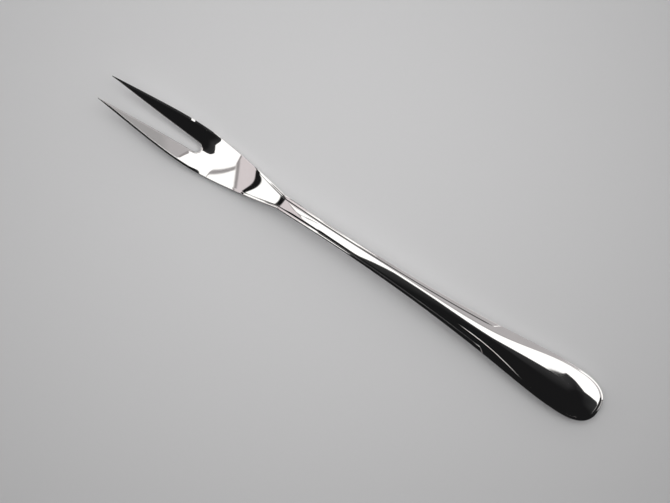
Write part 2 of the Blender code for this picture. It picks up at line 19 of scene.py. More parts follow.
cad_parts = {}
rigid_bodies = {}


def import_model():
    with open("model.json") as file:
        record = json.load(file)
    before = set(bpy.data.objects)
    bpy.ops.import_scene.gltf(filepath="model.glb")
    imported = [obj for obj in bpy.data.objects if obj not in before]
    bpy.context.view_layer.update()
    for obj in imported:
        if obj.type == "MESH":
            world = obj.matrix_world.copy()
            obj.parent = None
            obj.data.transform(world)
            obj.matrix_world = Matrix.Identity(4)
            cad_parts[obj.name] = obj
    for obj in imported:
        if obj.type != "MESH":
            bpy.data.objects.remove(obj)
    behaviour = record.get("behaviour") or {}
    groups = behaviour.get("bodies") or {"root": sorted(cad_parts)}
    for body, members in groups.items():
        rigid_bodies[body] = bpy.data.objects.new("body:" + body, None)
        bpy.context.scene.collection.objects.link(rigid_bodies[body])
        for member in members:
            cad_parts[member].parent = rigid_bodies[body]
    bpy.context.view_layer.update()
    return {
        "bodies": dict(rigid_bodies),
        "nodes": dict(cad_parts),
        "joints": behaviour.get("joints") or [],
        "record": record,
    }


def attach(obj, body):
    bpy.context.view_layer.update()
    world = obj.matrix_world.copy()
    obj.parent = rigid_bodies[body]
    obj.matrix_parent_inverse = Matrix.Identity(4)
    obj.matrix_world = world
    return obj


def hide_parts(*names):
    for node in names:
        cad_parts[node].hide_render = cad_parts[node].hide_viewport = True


Array = np.ndarray
Pair = Tuple[float, float]
Colour = Tuple[float, float, float]
Point = Tuple[float, float, float]
Node = bpy.types.Node
Socket = bpy.types.NodeSocket

LOG = logging.getLogger("meat_fork")
# Name of the attribute that carries the painted shade of the groove
PAINTED_GROOVE_SHADE = "groove"
DRESSED = "_dressed"
UP = Vector((0.0, 0.0, 1.0))
QUARTER_TURN = math.pi / 2
WHITE: Colour = (1.3, 1.29, 1.27)
WARM_GREY: Colour = (0.74, 0.68, 0.69)
DIM_GREY: Colour = (0.49, 0.47, 0.475)
BLACK: Colour = (0.0105, 0.0105, 0.011)


class ShellSide(Enum):
    """The two pressed halves of the handle."""

    FRONT = "handle_front_shell"
    BACK = "handle_back_shell"


class Blend(Enum):
    """How a Map Range node runs between its two ends."""

    STRAIGHT = "LINEAR"
    EASED = "SMOOTHSTEP"


def eased(t: Array) -> Array:
    """0 before t = 0, 1 after t = 1, and a smooth step between."""
    t = np.clip(t, 0.0, 1.0)
    return t * t * (3 - 2 * t)


def rounding(distance: Array, width: Array) -> Array:
    """How far an edge is rounded off: 1 at the edge and 0 from a width away."""
    return np.clip(1 - distance / width, 0.0, 1.0) ** 2


def halves(*widths: float) -> Array:
    """Half of each width."""
    return np.array(widths) / 2


def ramp(count: int, whole: bool = False) -> Array:
    """A row of shares from 0 towards 1, with the 1 itself where it is whole."""
    return np.linspace(0, 1, count, endpoint=whole)[None, :]


def joined(*runs: Tuple[float, float, int]) -> Array:
    """Stations of several runs, each from its start up to but not at its end."""
    return np.concatenate([np.linspace(*run, endpoint=False) for run in runs])


class Spline:
    """Cubic spline along the fork, evaluated on whole arrays."""

    def __init__(
        self,
        stations: Sequence[float],
        values: Sequence[float],
        start_slope: Optional[float] = None,
        end_slope: Optional[float] = None,
    ) -> None:
        """Solve the slopes at the knots.

        Args:
            stations: stations of the knots, in order.
            values: the curve's value at each knot.
            start_slope: slope at the first knot; None lets the curve run out straight.
            end_slope: slope at the last knot; None lets the curve run out straight.
        """
        self.x, self.y = np.array(stations, float), np.array(values, float)
        step = np.diff(self.x)
        rise = np.diff(self.y) / step
        count = len(self.x)
        matrix, right = np.zeros((count, count)), np.zeros(count)
        matrix[0, :2], right[0] = ((2, 1), 3 * rise[0]) if start_slope is None else ((1, 0), start_slope)
        matrix[-1, -2:], right[-1] = ((1, 2), 3 * rise[-1]) if end_slope is None else ((0, 1), end_slope)
        for i in range(1, count - 1):
            matrix[i, i - 1 : i + 2] = step[i], 2 * (step[i - 1] + step[i]), step[i - 1]
            right[i] = 3 * (step[i] * rise[i - 1] + step[i - 1] * rise[i])
        self.slope = np.linalg.solve(matrix, right)

    @classmethod
    def level(cls, stations: Sequence[float], values: Sequence[float]) -> "Spline":
        """A spline that is level at both ends; its last value holds for the stations left over."""
        held = [values[-1]] * (len(stations) - len(values))
        return cls(stations, [*values, *held], 0.0, 0.0)

    def __call__(self, station: Array) -> Array:
        """Value of the curve.

        Args:
            station: one station or an array of them; held inside the knots.

        Returns:
            The value at each station.
        """
        at = np.clip(np.asarray(station, float), self.x[0], self.x[-1])
        i = np.clip(np.searchsorted(self.x, at) - 1, 0, len(self.x) - 2)
        step = self.x[i + 1] - self.x[i]
        t = (at - self.x[i]) / step
        rise = (self.y[i + 1] - self.y[i]) / step
        bow = (self.slope[i] - rise) * (1 - t) - (self.slope[i + 1] - rise) * t
        return self.y[i] + t * step * rise + bow * step * t * (1 - t)


@dataclass
class ForkForm:
    """The shape of the fork: its outline, its side view and the relief on its front.

    The handle is measured along lines from its middle to its outline: foot is the station of a
    line's foot, offset a distance along the line and reach the length of the line.
    """

    handle_length: float = 0.1315
    head_length: float = 0.0725
    tine_length: float = 0.0388
    handle_widest_at: float = 0.0136
    shoulder_at: float = 0.0440
    spur_length: float = 0.0024
    spur_wall: float = 0.0006
    shank_to_neck: float = 0.0225
    thread_fade_length: float = 0.0150
    facet_fade_length: float = 0.0060

    handle_width: float = 0.01676
    handle_flare_width: float = 0.01484
    shoulder_width: float = 0.01164
    stem_width: float = 0.00682
    shank_width: float = 0.00512
    neck_width: float = 0.00550
    head_flare_width: float = 0.01160
    head_width: float = 0.01520
    tine_middle_width: float = 0.01340
    tip_spread: float = 0.00900
    tip_width: float = 0.00030
    end_roundness: float = 2.6
    slot_root_width: float = 0.00362
    slot_middle_width: float = 0.00576

    handle_rest_length: float = 0.0100
    handle_rest_width: float = 0.0048
    shoulder_clearance: float = 0.0013
    stem_clearance: float = 0.0030
    shank_clearance: float = 0.0046
    neck_clearance: float = 0.00306
    head_base_clearance: float = 0.00112
    head_rest_to_slot: float = 0.0075
    head_rest_length: float = 0.0080
    head_rest_width: float = 0.0050
    tine_middle_clearance: float = 0.0019
    tip_clearance: float = 0.0058

    handle_tip_thickness: float = 0.0038
    handle_end_thickness: float = 0.0050
    shoulder_thickness: float = 0.00540
    stem_thickness: float = 0.00515
    shank_thickness: float = 0.0040
    neck_thickness: float = 0.0035
    head_base_thickness: float = 0.00282
    head_thickness: float = 0.0023
    tine_middle_thickness: float = 0.0018
    tip_thickness: float = 0.0009

    panel_end_width: float = 0.0150
    panel_shoulder_width: float = 0.0058
    panel_stem_width: float = 0.0033
    panel_shank_width: float = 0.0024
    panel_most: float = 0.97
    panel_end_drop: float = 0.00050
    panel_shoulder_drop: float = 0.00010
    panel_stem_drop: float = 0.000041
    panel_shank_drop: float = 0.000005
    crease_radius: float = 0.0008
    crease_share: float = 0.4
    least_facet: float = 0.00001
    facet_slope: float = 0.34
    thread_width: float = 0.00105
    thread_end_width: float = 0.00135
    thread_height: float = 0.00005
    shank_bead_height: float = 0.00003
    bead_foot: float = 0.42
    edge_round_start: float = 0.72
    groove_width: float = 0.00032
    groove_depth: float = 0.00004
    # Sizes and tones of the painted shade along the groove beside the thread
    groove_fade_length: float = 0.0120
    groove_start_length: float = 0.0040
    groove_line_share: float = 0.36
    groove_shade_tones: Tuple[float, ...] = (1.0, 0.75, 0.95, 0.95)
    rim_width: float = 0.00070
    rim_slope: float = 0.15
    stem_edge_slope: float = 0.30
    shank_edge_slope: float = 0.07
    handle_edge_drop: float = 0.00006
    spatula_back_rise: float = 0.0017
    shank_back_rise: float = 0.0013

    head_edge_width: float = 0.00070
    head_edge_fade: float = 0.0080
    slot_edge_width: float = 0.00045
    slot_edge_drop: float = 0.00026
    head_dish: float = 2.5
    tine_tilt: float = 10.8
    tilt_start: float = 0.0078
    tilt_end: float = 0.0060
    tilt_lag: float = 0.13
    tine_twist: float = 3.7
    twist_start: float = 0.0010
    twist_length: float = 0.0190
    neck_hollow: float = 20.0
    neck_hollow_rise: float = 0.0065
    neck_hollow_fall: float = 0.0085
    valley_width: float = 0.0008
    back_edge_width: float = 0.0014
    back_edge_rise: float = 0.0005
    back_edge_share: float = 0.3

    def __post_init__(self) -> None:
        """Work out the stations and the curves that follow from the sizes."""
        self.length = self.handle_length + self.head_length
        self.neck_at = self.handle_length
        self.shank_at = self.neck_at - self.shank_to_neck
        self.stem_at = (self.shoulder_at + self.shank_at) / 2
        self.handle_at = (self.handle_widest_at, self.shoulder_at, self.stem_at, self.shank_at, self.neck_at)
        self.slot_root_at = self.length - self.tine_length
        self.slot_root_radius = self.slot_root_width / 2
        self.slot_start = self.slot_root_at + self.slot_root_radius
        self.head_rest_end = self.slot_root_at - self.head_rest_to_slot
        self.head_rest_start = self.head_rest_end - self.head_rest_length
        self.tine_middle_at = (self.slot_root_at + self.length) / 2
        self._lay_outlines()
        self._lay_side_view()
        self._lay_relief()

    def _lay_outlines(self) -> None:
        """The plan view: the handle's edge, the head's edge and the slot's edge."""
        flare_at = (self.handle_widest_at + self.shoulder_at) / 2
        widths = (self.handle_width, self.handle_flare_width, self.shoulder_width, self.stem_width)
        widths += (self.shank_width, self.neck_width)
        stations = (self.handle_widest_at, flare_at, *self.handle_at[1:])
        self.handle_outline = Spline(stations, halves(*widths), start_slope=0.0)
        flare_at = (self.neck_at + self.slot_root_at) / 2
        widths = (self.neck_width, self.head_flare_width, self.head_width, self.tine_middle_width)
        widths += (self.tip_spread + self.tip_width,)
        stations = (self.neck_at, flare_at, self.slot_root_at, self.tine_middle_at, self.length)
        self.head_outline = Spline(stations, halves(*widths))
        widths = (self.slot_root_width, self.slot_middle_width, self.tip_spread - self.tip_width)
        self.slot_outline = Spline((self.slot_start, self.tine_middle_at, self.length), halves(*widths))

    def _lay_side_view(self) -> None:
        """The side view: the underside's clearance over the table and the thickness."""
        head_at = (self.head_rest_start, self.head_rest_end, self.tine_middle_at, self.length)
        base_at = (self.neck_at + self.head_rest_start) / 2
        rest = self.handle_rest_length / 2
        stations = (0.0, self.handle_widest_at - rest, self.handle_widest_at + rest)
        clearances = (0.0, 0.0, 0.0, self.shoulder_clearance, self.stem_clearance)
        clearances += (self.shank_clearance, self.neck_clearance, self.head_base_clearance)
        clearances += (0.0, 0.0, self.tine_middle_clearance, self.tip_clearance)
        self.clearance = Spline((*stations, *self.handle_at[1:], base_at, *head_at), clearances)
        thicknesses = (self.handle_tip_thickness, self.handle_end_thickness, self.shoulder_thickness)
        thicknesses += (self.stem_thickness, self.shank_thickness, self.neck_thickness)
        thicknesses += (self.head_base_thickness, self.head_thickness)
        thicknesses += (self.tine_middle_thickness, self.tip_thickness)
        self.thickness = Spline((0.0, *self.handle_at, *head_at), thicknesses)

    def _lay_relief(self) -> None:
        """The relief along the handle: panel, edges, thread, groove and the lift of the back."""
        at, thread_at = self.handle_at, (self.shoulder_at, self.stem_at, self.neck_at)
        widths = (self.panel_end_width, self.panel_shoulder_width, self.panel_stem_width)
        self.panel_half_width = Spline.level(at, halves(*widths, self.panel_shank_width))
        drops = (self.panel_end_drop, self.panel_shoulder_drop, self.panel_stem_drop, self.panel_shank_drop)
        self.panel_drop = Spline.level(at, drops)
        slopes = (self.rim_slope, self.facet_slope, self.stem_edge_slope, self.shank_edge_slope)
        self.edge_slope = Spline.level(at, slopes)
        self.bead_height = Spline.level(at[1:], (0.0, 0.0, self.shank_bead_height))
        self.thread_band = Spline.level(thread_at, (self.thread_end_width, self.thread_width))
        self.back_edge_lift = Spline.level(thread_at, (self.spatula_back_rise, self.shank_back_rise))
        # Tone of the painted groove shade along the handle
        self.groove_shade_tone = Spline((self.shoulder_at + self.spur_length, *at[2:]), self.groove_shade_tones)

    def half_width(self, station: Array) -> Array:
        """Half the width of the fork; its outline has a corner where the head meets the handle."""
        on_handle = np.asarray(station) < self.neck_at
        return np.where(on_handle, self.handle_outline(station), self.head_outline(station))

    def slot_distance(self, station: Array, across: Array) -> Array:
        """Distance of a plan point from the edge of the slot."""
        behind = np.hypot(station - self.slot_start, across) - self.slot_root_radius
        return np.where(station < self.slot_start, behind, across - self.slot_outline(station))

    def underside(self, station: Array) -> Array:
        """Height of the middle of the underside; it is flat where the fork rests."""
        return np.maximum(self.clearance(station), 0.0)

    def front_line(self, station: Array) -> Array:
        """Height of the front along the middle plane."""
        return self.clearance(station) + self.thickness(station)

    def headness(self, station: Array) -> Array:
        """0 on the handle and 1 on the dished head, easing across the neck."""
        return eased((station - self.neck_at) / (self.head_rest_start - self.neck_at))

    def thread_share(self, station: Array, inset: Array) -> Array:
        """How much of the edge thread stands: it ends in a slanting spur and fades on the head."""
        starts = eased((station - self.shoulder_at - self.spur_length * inset) / self.spur_wall)
        return starts * (1 - eased((station - self.neck_at) / self.thread_fade_length))

    def edge_band(self, station: Array, width: Array) -> Array:
        """Width of the band along the edge that carries the thread, the rim or the rounded edge.

        Args:
            station: where along the fork.
            width: width of the half that the band lies on.

        Returns:
            The band's width, at most half of that width.
        """
        spur = eased((station - self.shoulder_at) / self.spur_length)
        on_handle = self.rim_width + (self.thread_band(station) - self.rim_width) * spur
        band = on_handle + (self.head_edge_width - on_handle) * self.headness(station)
        return np.minimum(band, width / 2)

    def edge_share(self, station: Array) -> Array:
        """How much of the bevelled edge of the tines there is: none on the neck, all from the slot on."""
        return eased(1 + (station - self.slot_root_at) / self.head_edge_fade)

    def groove_painted_shade(self, station: Array, across: Array) -> Array:
        """How dark the painted shade is on the line that runs along the inside of the thread, standing in
        for the shade of the deep groove.

        Args:
            station: where along the fork.
            across: distance off the middle plane.

        Returns:
            0 for bright metal, 1 for the darkest painted shade.
        """
        reach = self.half_width(station)
        past = across - (reach - self.edge_band(station, reach))
        line = np.clip(2 - np.abs(past) / (self.groove_line_share * self.groove_width), 0.0, 1.0)
        fade = 1 - eased((station - self.neck_at) / self.groove_fade_length)
        starts = eased((station - self.shoulder_at - self.spur_length) / self.groove_start_length)
        # Painted shade: this darkens the metal's colour along the groove in place of the groove's own shade
        return self.groove_shade_tone(station) * line * starts * fade

    def panel_edge(self, foot: Array, reach: Array) -> Array:
        """Distance from the middle to the panel's edge.

        Args:
            foot: station of the line's foot.
            reach: length of the line.

        Returns:
            The distance along the line.
        """
        share = self.panel_half_width(foot) / self.half_width(foot)
        widest = self.panel_most * (reach - self.edge_band(foot, reach))
        panel = np.minimum(share * reach, widest)
        return panel + (widest - panel) * eased(1 + (foot - self.neck_at) / self.facet_fade_length)

    def relief_drop(self, foot: Array, offset: Array, reach: Array) -> Array:
        """Depth of the handle's front below its middle line, without the edge thread.

        Args:
            foot: station of the line's foot.
            offset: distance along the line.
            reach: length of the line.

        Returns:
            The depth.
        """
        panel = self.panel_edge(foot, reach)
        groove = reach - self.edge_band(foot, reach)
        crown = self.panel_drop(foot) * (offset / panel) ** 2
        past = np.minimum(offset, groove) - panel
        room = np.maximum(reach - self.thread_width - panel, self.least_facet)
        soft = np.minimum(self.crease_radius, self.crease_share * room)
        facet = self.facet_slope * (past + np.sqrt(past**2 + soft**2)) / 2
        return crown + facet + self.edge_slope(foot) * np.maximum(offset - groove, 0.0)

    def thread_rise(self, foot: Array, offset: Array, reach: Array, band: Array) -> Array:
        """Height of the edge thread over its band, less its groove and the fall of the edge itself.

        Args:
            foot: station of the line's foot.
            offset: distance along the line.
            reach: length of the line.
            band: width of the edge band.

        Returns:
            The height.
        """
        past = offset - (reach - band)
        share = np.clip(past / band, 0.0, 1.0)
        bead = eased((share - self.bead_foot) / (self.edge_round_start - self.bead_foot))
        thread = self.thread_height * eased(3 * past / self.groove_width) + bead * self.bead_height(foot)
        thread = thread * self.thread_share(foot, 1 - share)
        groove = np.clip(1 - np.abs(past) / (self.groove_width / 2), 0.0, 1.0)
        groove = groove * self.groove_depth * self.thread_share(foot, 1.0)
        rounded = rounding(1 - share, 1 - self.edge_round_start)
        bevel = self.edge_share(foot)
        level = (self.tine_slope(foot, offset) + self.head_dish * offset) * band * share
        return thread - groove - self.handle_edge_drop * (1 - bevel) * rounded - level * bevel

    def tine_slope(self, station: Array, across: Array) -> Array:
        """Slope of the tines towards each other; it sets in round the slot's root and grows after.

        Args:
            station: where along the fork.
            across: distance off the middle plane.

        Returns:
            The slope, in metres of rise for each metre.
        """
        past = station - self.slot_root_at
        tilt = eased((past - self.tilt_lag * across + self.tilt_start) / (self.tilt_start + self.tilt_end))
        twist = eased((past - self.twist_start) / self.twist_length)
        return np.tan(np.radians(self.tine_tilt * tilt + self.tine_twist * twist))

    def dish_rise(self, station: Array, across: Array) -> Array:
        """Rise of the hollowed head away from its middle line; the tines tilt towards each other."""
        valley = np.sqrt(across**2 + self.valley_width**2) - self.valley_width
        return self.tine_slope(station, across) * valley + self.head_dish * across**2 / 2

    def neck_rise(self, station: Array, across: Array) -> Array:
        """Rise of the slight hollow across the neck.

        Args:
            station: where along the fork.
            across: distance off the middle plane.

        Returns:
            The rise.
        """
        top = self.neck_at + self.neck_hollow_rise
        window = eased((station - self.neck_at) / self.neck_hollow_rise)
        window = window * (1 - eased((station - top) / self.neck_hollow_fall))
        return window * self.neck_hollow * across**2 / 2

    def back_rise(self, foot: Array, offset: Array, reach: Array) -> Array:
        """Rise of the handle's back, from a flat along the middle round to the edges."""
        flat = self.handle_rest_width / self.handle_width * reach
        return self.back_edge_lift(foot) * (np.maximum(offset - flat, 0.0) / (reach - flat)) ** 2

    def handle_front(self, station: Array, foot: Array, offset: Array, reach: Array) -> Array:
        """Height of the handle's front.

        Args:
            station: where along the fork.
            foot: station of the line's foot.
            offset: distance along the line.
            reach: length of the line.

        Returns:
            The height over the table.
        """
        band = self.edge_band(foot, reach)
        relief = self.thread_rise(foot, offset, reach, band) - self.relief_drop(foot, offset, reach)
        return self.front_line(station) + relief

    def handle_back(self, station: Array, foot: Array, offset: Array, reach: Array) -> Array:
        """Height of the handle's back, with the same arguments as the front."""
        return self.underside(station) + self.back_rise(foot, offset, reach)

    def seam_height(self, station: Array, foot: Array, reach: Array) -> Array:
        """Height of the seam between the shells, half way up the handle's edge."""
        top = self.handle_front(station, foot, reach, reach)
        return (top + self.handle_back(station, foot, reach, reach)) / 2

    def head_front(self, station: Array, across: Array, reach: Array, slot: Array) -> Array:
        """Height of the head's front, with its outer edge and its slot's edge rounded.

        Args:
            station: where along the fork.
            across: distance off the middle plane.
            reach: half the width of the head.
            slot: half the width of the slot.

        Returns:
            The height over the table.
        """
        share = self.headness(station)
        relief = share * self.dish_rise(station, across) + self.neck_rise(station, across)
        relief = relief - (1 - share) * self.relief_drop(station, across, reach)
        relief = relief + self.thread_rise(station, across, reach, self.edge_band(station, reach - slot))
        inner = np.minimum(self.slot_edge_width, (reach - slot) / 3)
        fall = np.minimum(self.slot_edge_drop, self.thickness(station) / 4)
        relief = relief - fall * rounding(self.slot_distance(station, across), inner)
        return self.front_line(station) + relief

    def head_back(self, station: Array, across: Array, reach: Array, slot: Array) -> Array:
        """Height of the head's back: flat where it rests, then along the dish with rounded edges.

        Args:
            station: where along the fork.
            across: distance off the middle plane.
            reach: half the width of the head.
            slot: half the width of the slot.

        Returns:
            The height over the table.
        """
        share = self.headness(station)
        leaving = eased((station - self.head_rest_end) / self.head_rest_to_slot)
        rest = self.head_rest_width / 2 * (1 - leaving)
        dish = self.dish_rise(station, np.maximum(across, rest)) - self.dish_rise(station, rest)
        width = np.minimum(self.back_edge_width, (reach - slot) / 2)
        rise = np.minimum(self.back_edge_rise, self.thickness(station) * self.back_edge_share)
        edges = rounding(reach - across, width) + rounding(self.slot_distance(station, across), width)
        neck = self.back_rise(station, across, reach) * (1 - share)
        return self.underside(station) + neck + share * (dish + rise * edges)


class NodeBench:
    """Lays and links the nodes of one node tree."""

    def __init__(self, tree: bpy.types.NodeTree) -> None:
        """Start on an emptied tree."""
        self.tree = tree
        tree.nodes.clear()

    def add(self, kind: str, **settings: object) -> Node:
        """Add a node.

        Args:
            kind: the node's type name.
            settings: attributes that are set on the node.

        Returns:
            The new node.
        """
        node = self.tree.nodes.new(kind)
        for name, value in settings.items():
            setattr(node, name, value)
        return node

    def feed(self, target: Socket, source: object) -> None:
        """Link a socket to the target, or set the target's own value.

        Args:
            target: an input socket.
            source: an output socket, or a plain value.
        """
        if isinstance(source, bpy.types.NodeSocket):
            self.tree.links.new(source, target)
        else:
            target.default_value = source

    def math(self, operation: str, *values: object) -> Socket:
        """One Math node.

        Args:
            operation: the node's operation.
            values: its sockets or numbers.

        Returns:
            The result's socket.
        """
        node = self.add("ShaderNodeMath", operation=operation)
        for target, value in zip(node.inputs, values):
            self.feed(target, value)
        return node.outputs[0]

    def fold(self, operation: str, *values: object) -> Socket:
        """One operation over all the values in turn.

        Args:
            operation: a Math node's operation.
            values: sockets or numbers.

        Returns:
            The result's socket.
        """
        result = values[0]
        for value in values[1:]:
            result = self.math(operation, result, value)
        return result

    def step(
        self, span: Pair, value: Socket, to: Pair = (0.0, 1.0), blend: Blend = Blend.EASED
    ) -> Socket:
        """Run over a range, 0 to 1 if not told, while a value runs over a span.

        Args:
            span: the value's start and end.
            value: the running socket.
            to: the result at the start and at the end.
            blend: straight or eased.

        Returns:
            The result's socket.
        """
        node = self.add("ShaderNodeMapRange", interpolation_type=blend.value)
        for name, number in zip(("From Min", "From Max", "To Min", "To Max"), (*span, *to)):
            self.feed(node.inputs[name], number)
        self.feed(node.inputs["Value"], value)
        return node.outputs["Result"]

    def spread(self, value: Socket, to: Pair) -> Socket:
        """Spread a 0 to 1 value straight over a range."""
        return self.step((0.0, 1.0), value, to, Blend.STRAIGHT)

    def mix(self, share: Socket, first: object, second: object) -> Socket:
        """Mix two colours.

        Args:
            share: how much of the second one shows.
            first: a socket or a colour.
            second: a socket or a colour.

        Returns:
            The mixed colour's socket.
        """
        node = self.add("ShaderNodeMix", data_type="RGBA")
        self.feed(node.inputs["Factor"], share)
        for target, source in ((node.inputs[6], first), (node.inputs[7], second)):
            self.feed(target, source if isinstance(source, bpy.types.NodeSocket) else (*source, 1.0))
        return node.outputs[2]

    def noise(self, place: Socket, scale: float, detail: float = 2.0) -> Socket:
        """Noise at a place.

        Args:
            place: the coordinates.
            scale: how fine it is, in repeats for each unit of the coordinates.
            detail: octaves.

        Returns:
            The noise's value.
        """
        node = self.add("ShaderNodeTexNoise")
        for name, source in (("Vector", place), ("Scale", scale), ("Detail", detail)):
            self.feed(node.inputs[name], source)
        return node.outputs["Fac"]

    def bump(self, height: Socket, depth: float, onto: Optional[Socket] = None) -> Socket:
        """A bump of a true depth.

        Args:
            height: 0 to 1 height.
            depth: the bump's depth in metres.
            onto: a normal that this one is laid over.

        Returns:
            The normal's socket.
        """
        node = self.add("ShaderNodeBump")
        self.feed(node.inputs["Distance"], depth)
        self.feed(node.inputs["Height"], height)
        if onto is not None:
            self.feed(node.inputs["Normal"], onto)
        return node.outputs["Normal"]

    def stretched(self, place: Socket, scale: Point) -> Socket:
        """Coordinates scaled along each axis.

        Args:
            place: the coordinates.
            scale: factors along X, Y and Z.

        Returns:
            The scaled coordinates.
        """
        node = self.add("ShaderNodeMapping")
        self.feed(node.inputs["Vector"], place)
        self.feed(node.inputs["Scale"], scale)
        return node.outputs["Vector"]

    def vector(self, operation: str, first: Socket, second: object, into: object = 1) -> Node:
        """One Vector Math node.

        Args:
            operation: the node's operation.
            first: the vector.
            second: a socket or a value.
            into: number or name of the second value's input.

        Returns:
            The node.
        """
        node = self.add("ShaderNodeVectorMath", operation=operation)
        self.feed(node.inputs[0], first)
        self.feed(node.inputs[into], second)
        return node


@dataclass(frozen=True)
class Finish:
    """A procedural finish; each kind sets the sockets of its shader."""

    name: str = "finish"

    def lay(self, bench: NodeBench, place: Socket, shader: Node) -> None:
        """Set the shader's sockets."""
        raise NotImplementedError

    def make(self) -> bpy.types.Material:
        """Make the material.

        Returns:
            The new material.
        """
        material = bpy.data.materials.new(self.name)
        material.use_nodes = True
        bench = NodeBench(material.node_tree)
        shader = bench.add("ShaderNodeBsdfPrincipled")
        self.lay(bench, bench.add("ShaderNodeTexCoord").outputs["Object"], shader)
        output = bench.add("ShaderNodeOutputMaterial")
        bench.feed(output.inputs["Surface"], shader.outputs["BSDF"])
        return material


@dataclass(frozen=True)
class PolishedMetal(Finish):
    """Bright polished metal with faint polishing lines, the slight waves of hand buffing and a painted shade
    line in the groove beside the thread.
    """

    name: str = "polished_metal"
    bright: Colour = (0.88, 0.87, 0.86)
    dull: Colour = (0.82, 0.81, 0.80)
    # Colour of the painted shade in the groove, which stands in for the groove's own shade
    painted_groove_shade: Colour = (0.035, 0.034, 0.034)
    roughness: Pair = (0.012, 0.030)
    cloud_scale: float = 260.0
    line_scale: Point = (60.0, 2600.0, 2600.0)
    line_depth: float = 0.00000003
    wave_scale: float = 170.0
    wave_depth: float = 0.0000006
    detail: float = 3.0

    def lay(self, bench: NodeBench, place: Socket, shader: Node) -> None:
        """Set the shader's sockets.

        Args:
            bench: the material's bench.
            place: the piece's own coordinates.
            shader: the shader.
        """
        bench.feed(shader.inputs["Metallic"], 1.0)
        cloud = bench.noise(place, self.cloud_scale, self.detail)
        # The attribute holds the painted groove shade; mixing it in darkens the metal's colour there
        groove = bench.add("ShaderNodeAttribute", attribute_name=PAINTED_GROOVE_SHADE).outputs["Fac"]
        metal = bench.mix(cloud, self.dull, self.bright)
        bench.feed(shader.inputs["Base Color"], bench.mix(groove, metal, self.painted_groove_shade))
        lines = bench.noise(bench.stretched(place, self.line_scale), 1.0, self.detail)
        bench.feed(shader.inputs["Roughness"], bench.spread(lines, self.roughness))
        waves = bench.bump(bench.noise(place, self.wave_scale, 0.0), self.wave_depth)
        bench.feed(shader.inputs["Normal"], bench.bump(lines, self.line_depth, waves))


@dataclass(frozen=True)
class HandleCement(Finish):
    """The dull brown-grey cement that fills the handle, grainy and a little porous."""

    name: str = "handle_cement"
    pale: Colour = (0.46, 0.40, 0.33)
    dark: Colour = (0.34, 0.29, 0.24)
    roughness: Pair = (0.82, 0.95)
    grain_scale: float = 1800.0
    grain_detail: float = 4.0
    grain_depth: float = 0.00006

    def lay(self, bench: NodeBench, place: Socket, shader: Node) -> None:
        """Set the shader's sockets.

        Args:
            bench: the material's bench.
            place: the piece's own coordinates.
            shader: the shader.
        """
        grain = bench.noise(place, self.grain_scale, self.grain_detail)
        bench.feed(shader.inputs["Base Color"], bench.mix(grain, self.dark, self.pale))
        bench.feed(shader.inputs["Roughness"], bench.spread(grain, self.roughness))
        bench.feed(shader.inputs["Normal"], bench.bump(grain, self.grain_depth))


@dataclass(frozen=True)
class PaleFloor(Finish):
    """A matt pale grey sheet with a painted pool of light: its colour is lightest at one spot and painted
    darker away from it.
    """

    name: str = "pale_floor"
    light: Colour = (0.851, 0.859, 0.867)
    painted_dim: Colour = (0.452, 0.457, 0.462)
    painted_pool_at: Point = (0.0386, -0.0325, 0.0)
    painted_pool_radius: float = 0.30
    speck_scale: float = 900.0
    speck: Pair = (0.985, 1.0)

    def lay(self, bench: NodeBench, place: Socket, shader: Node) -> None:
        """Set the shader's sockets.

        Args:
            bench: the material's bench.
            place: the floor's own coordinates.
            shader: the shader.
        """
        bench.feed(shader.inputs["Specular IOR Level"], 0.0)
        bench.feed(shader.inputs["Roughness"], 1.0)
        # Painted pool of light: the colour fades from the light colour to the darker one with distance from
        # the pool's middle
        away = bench.vector("DISTANCE", place, self.painted_pool_at).outputs["Value"]
        tone = bench.mix(bench.step((0.0, self.painted_pool_radius), away), self.light, self.painted_dim)
        speck = bench.spread(bench.noise(place, self.speck_scale), self.speck)
        tint = bench.vector("SCALE", tone, speck, "Scale").outputs["Vector"]
        bench.feed(shader.inputs["Base Color"], tint)


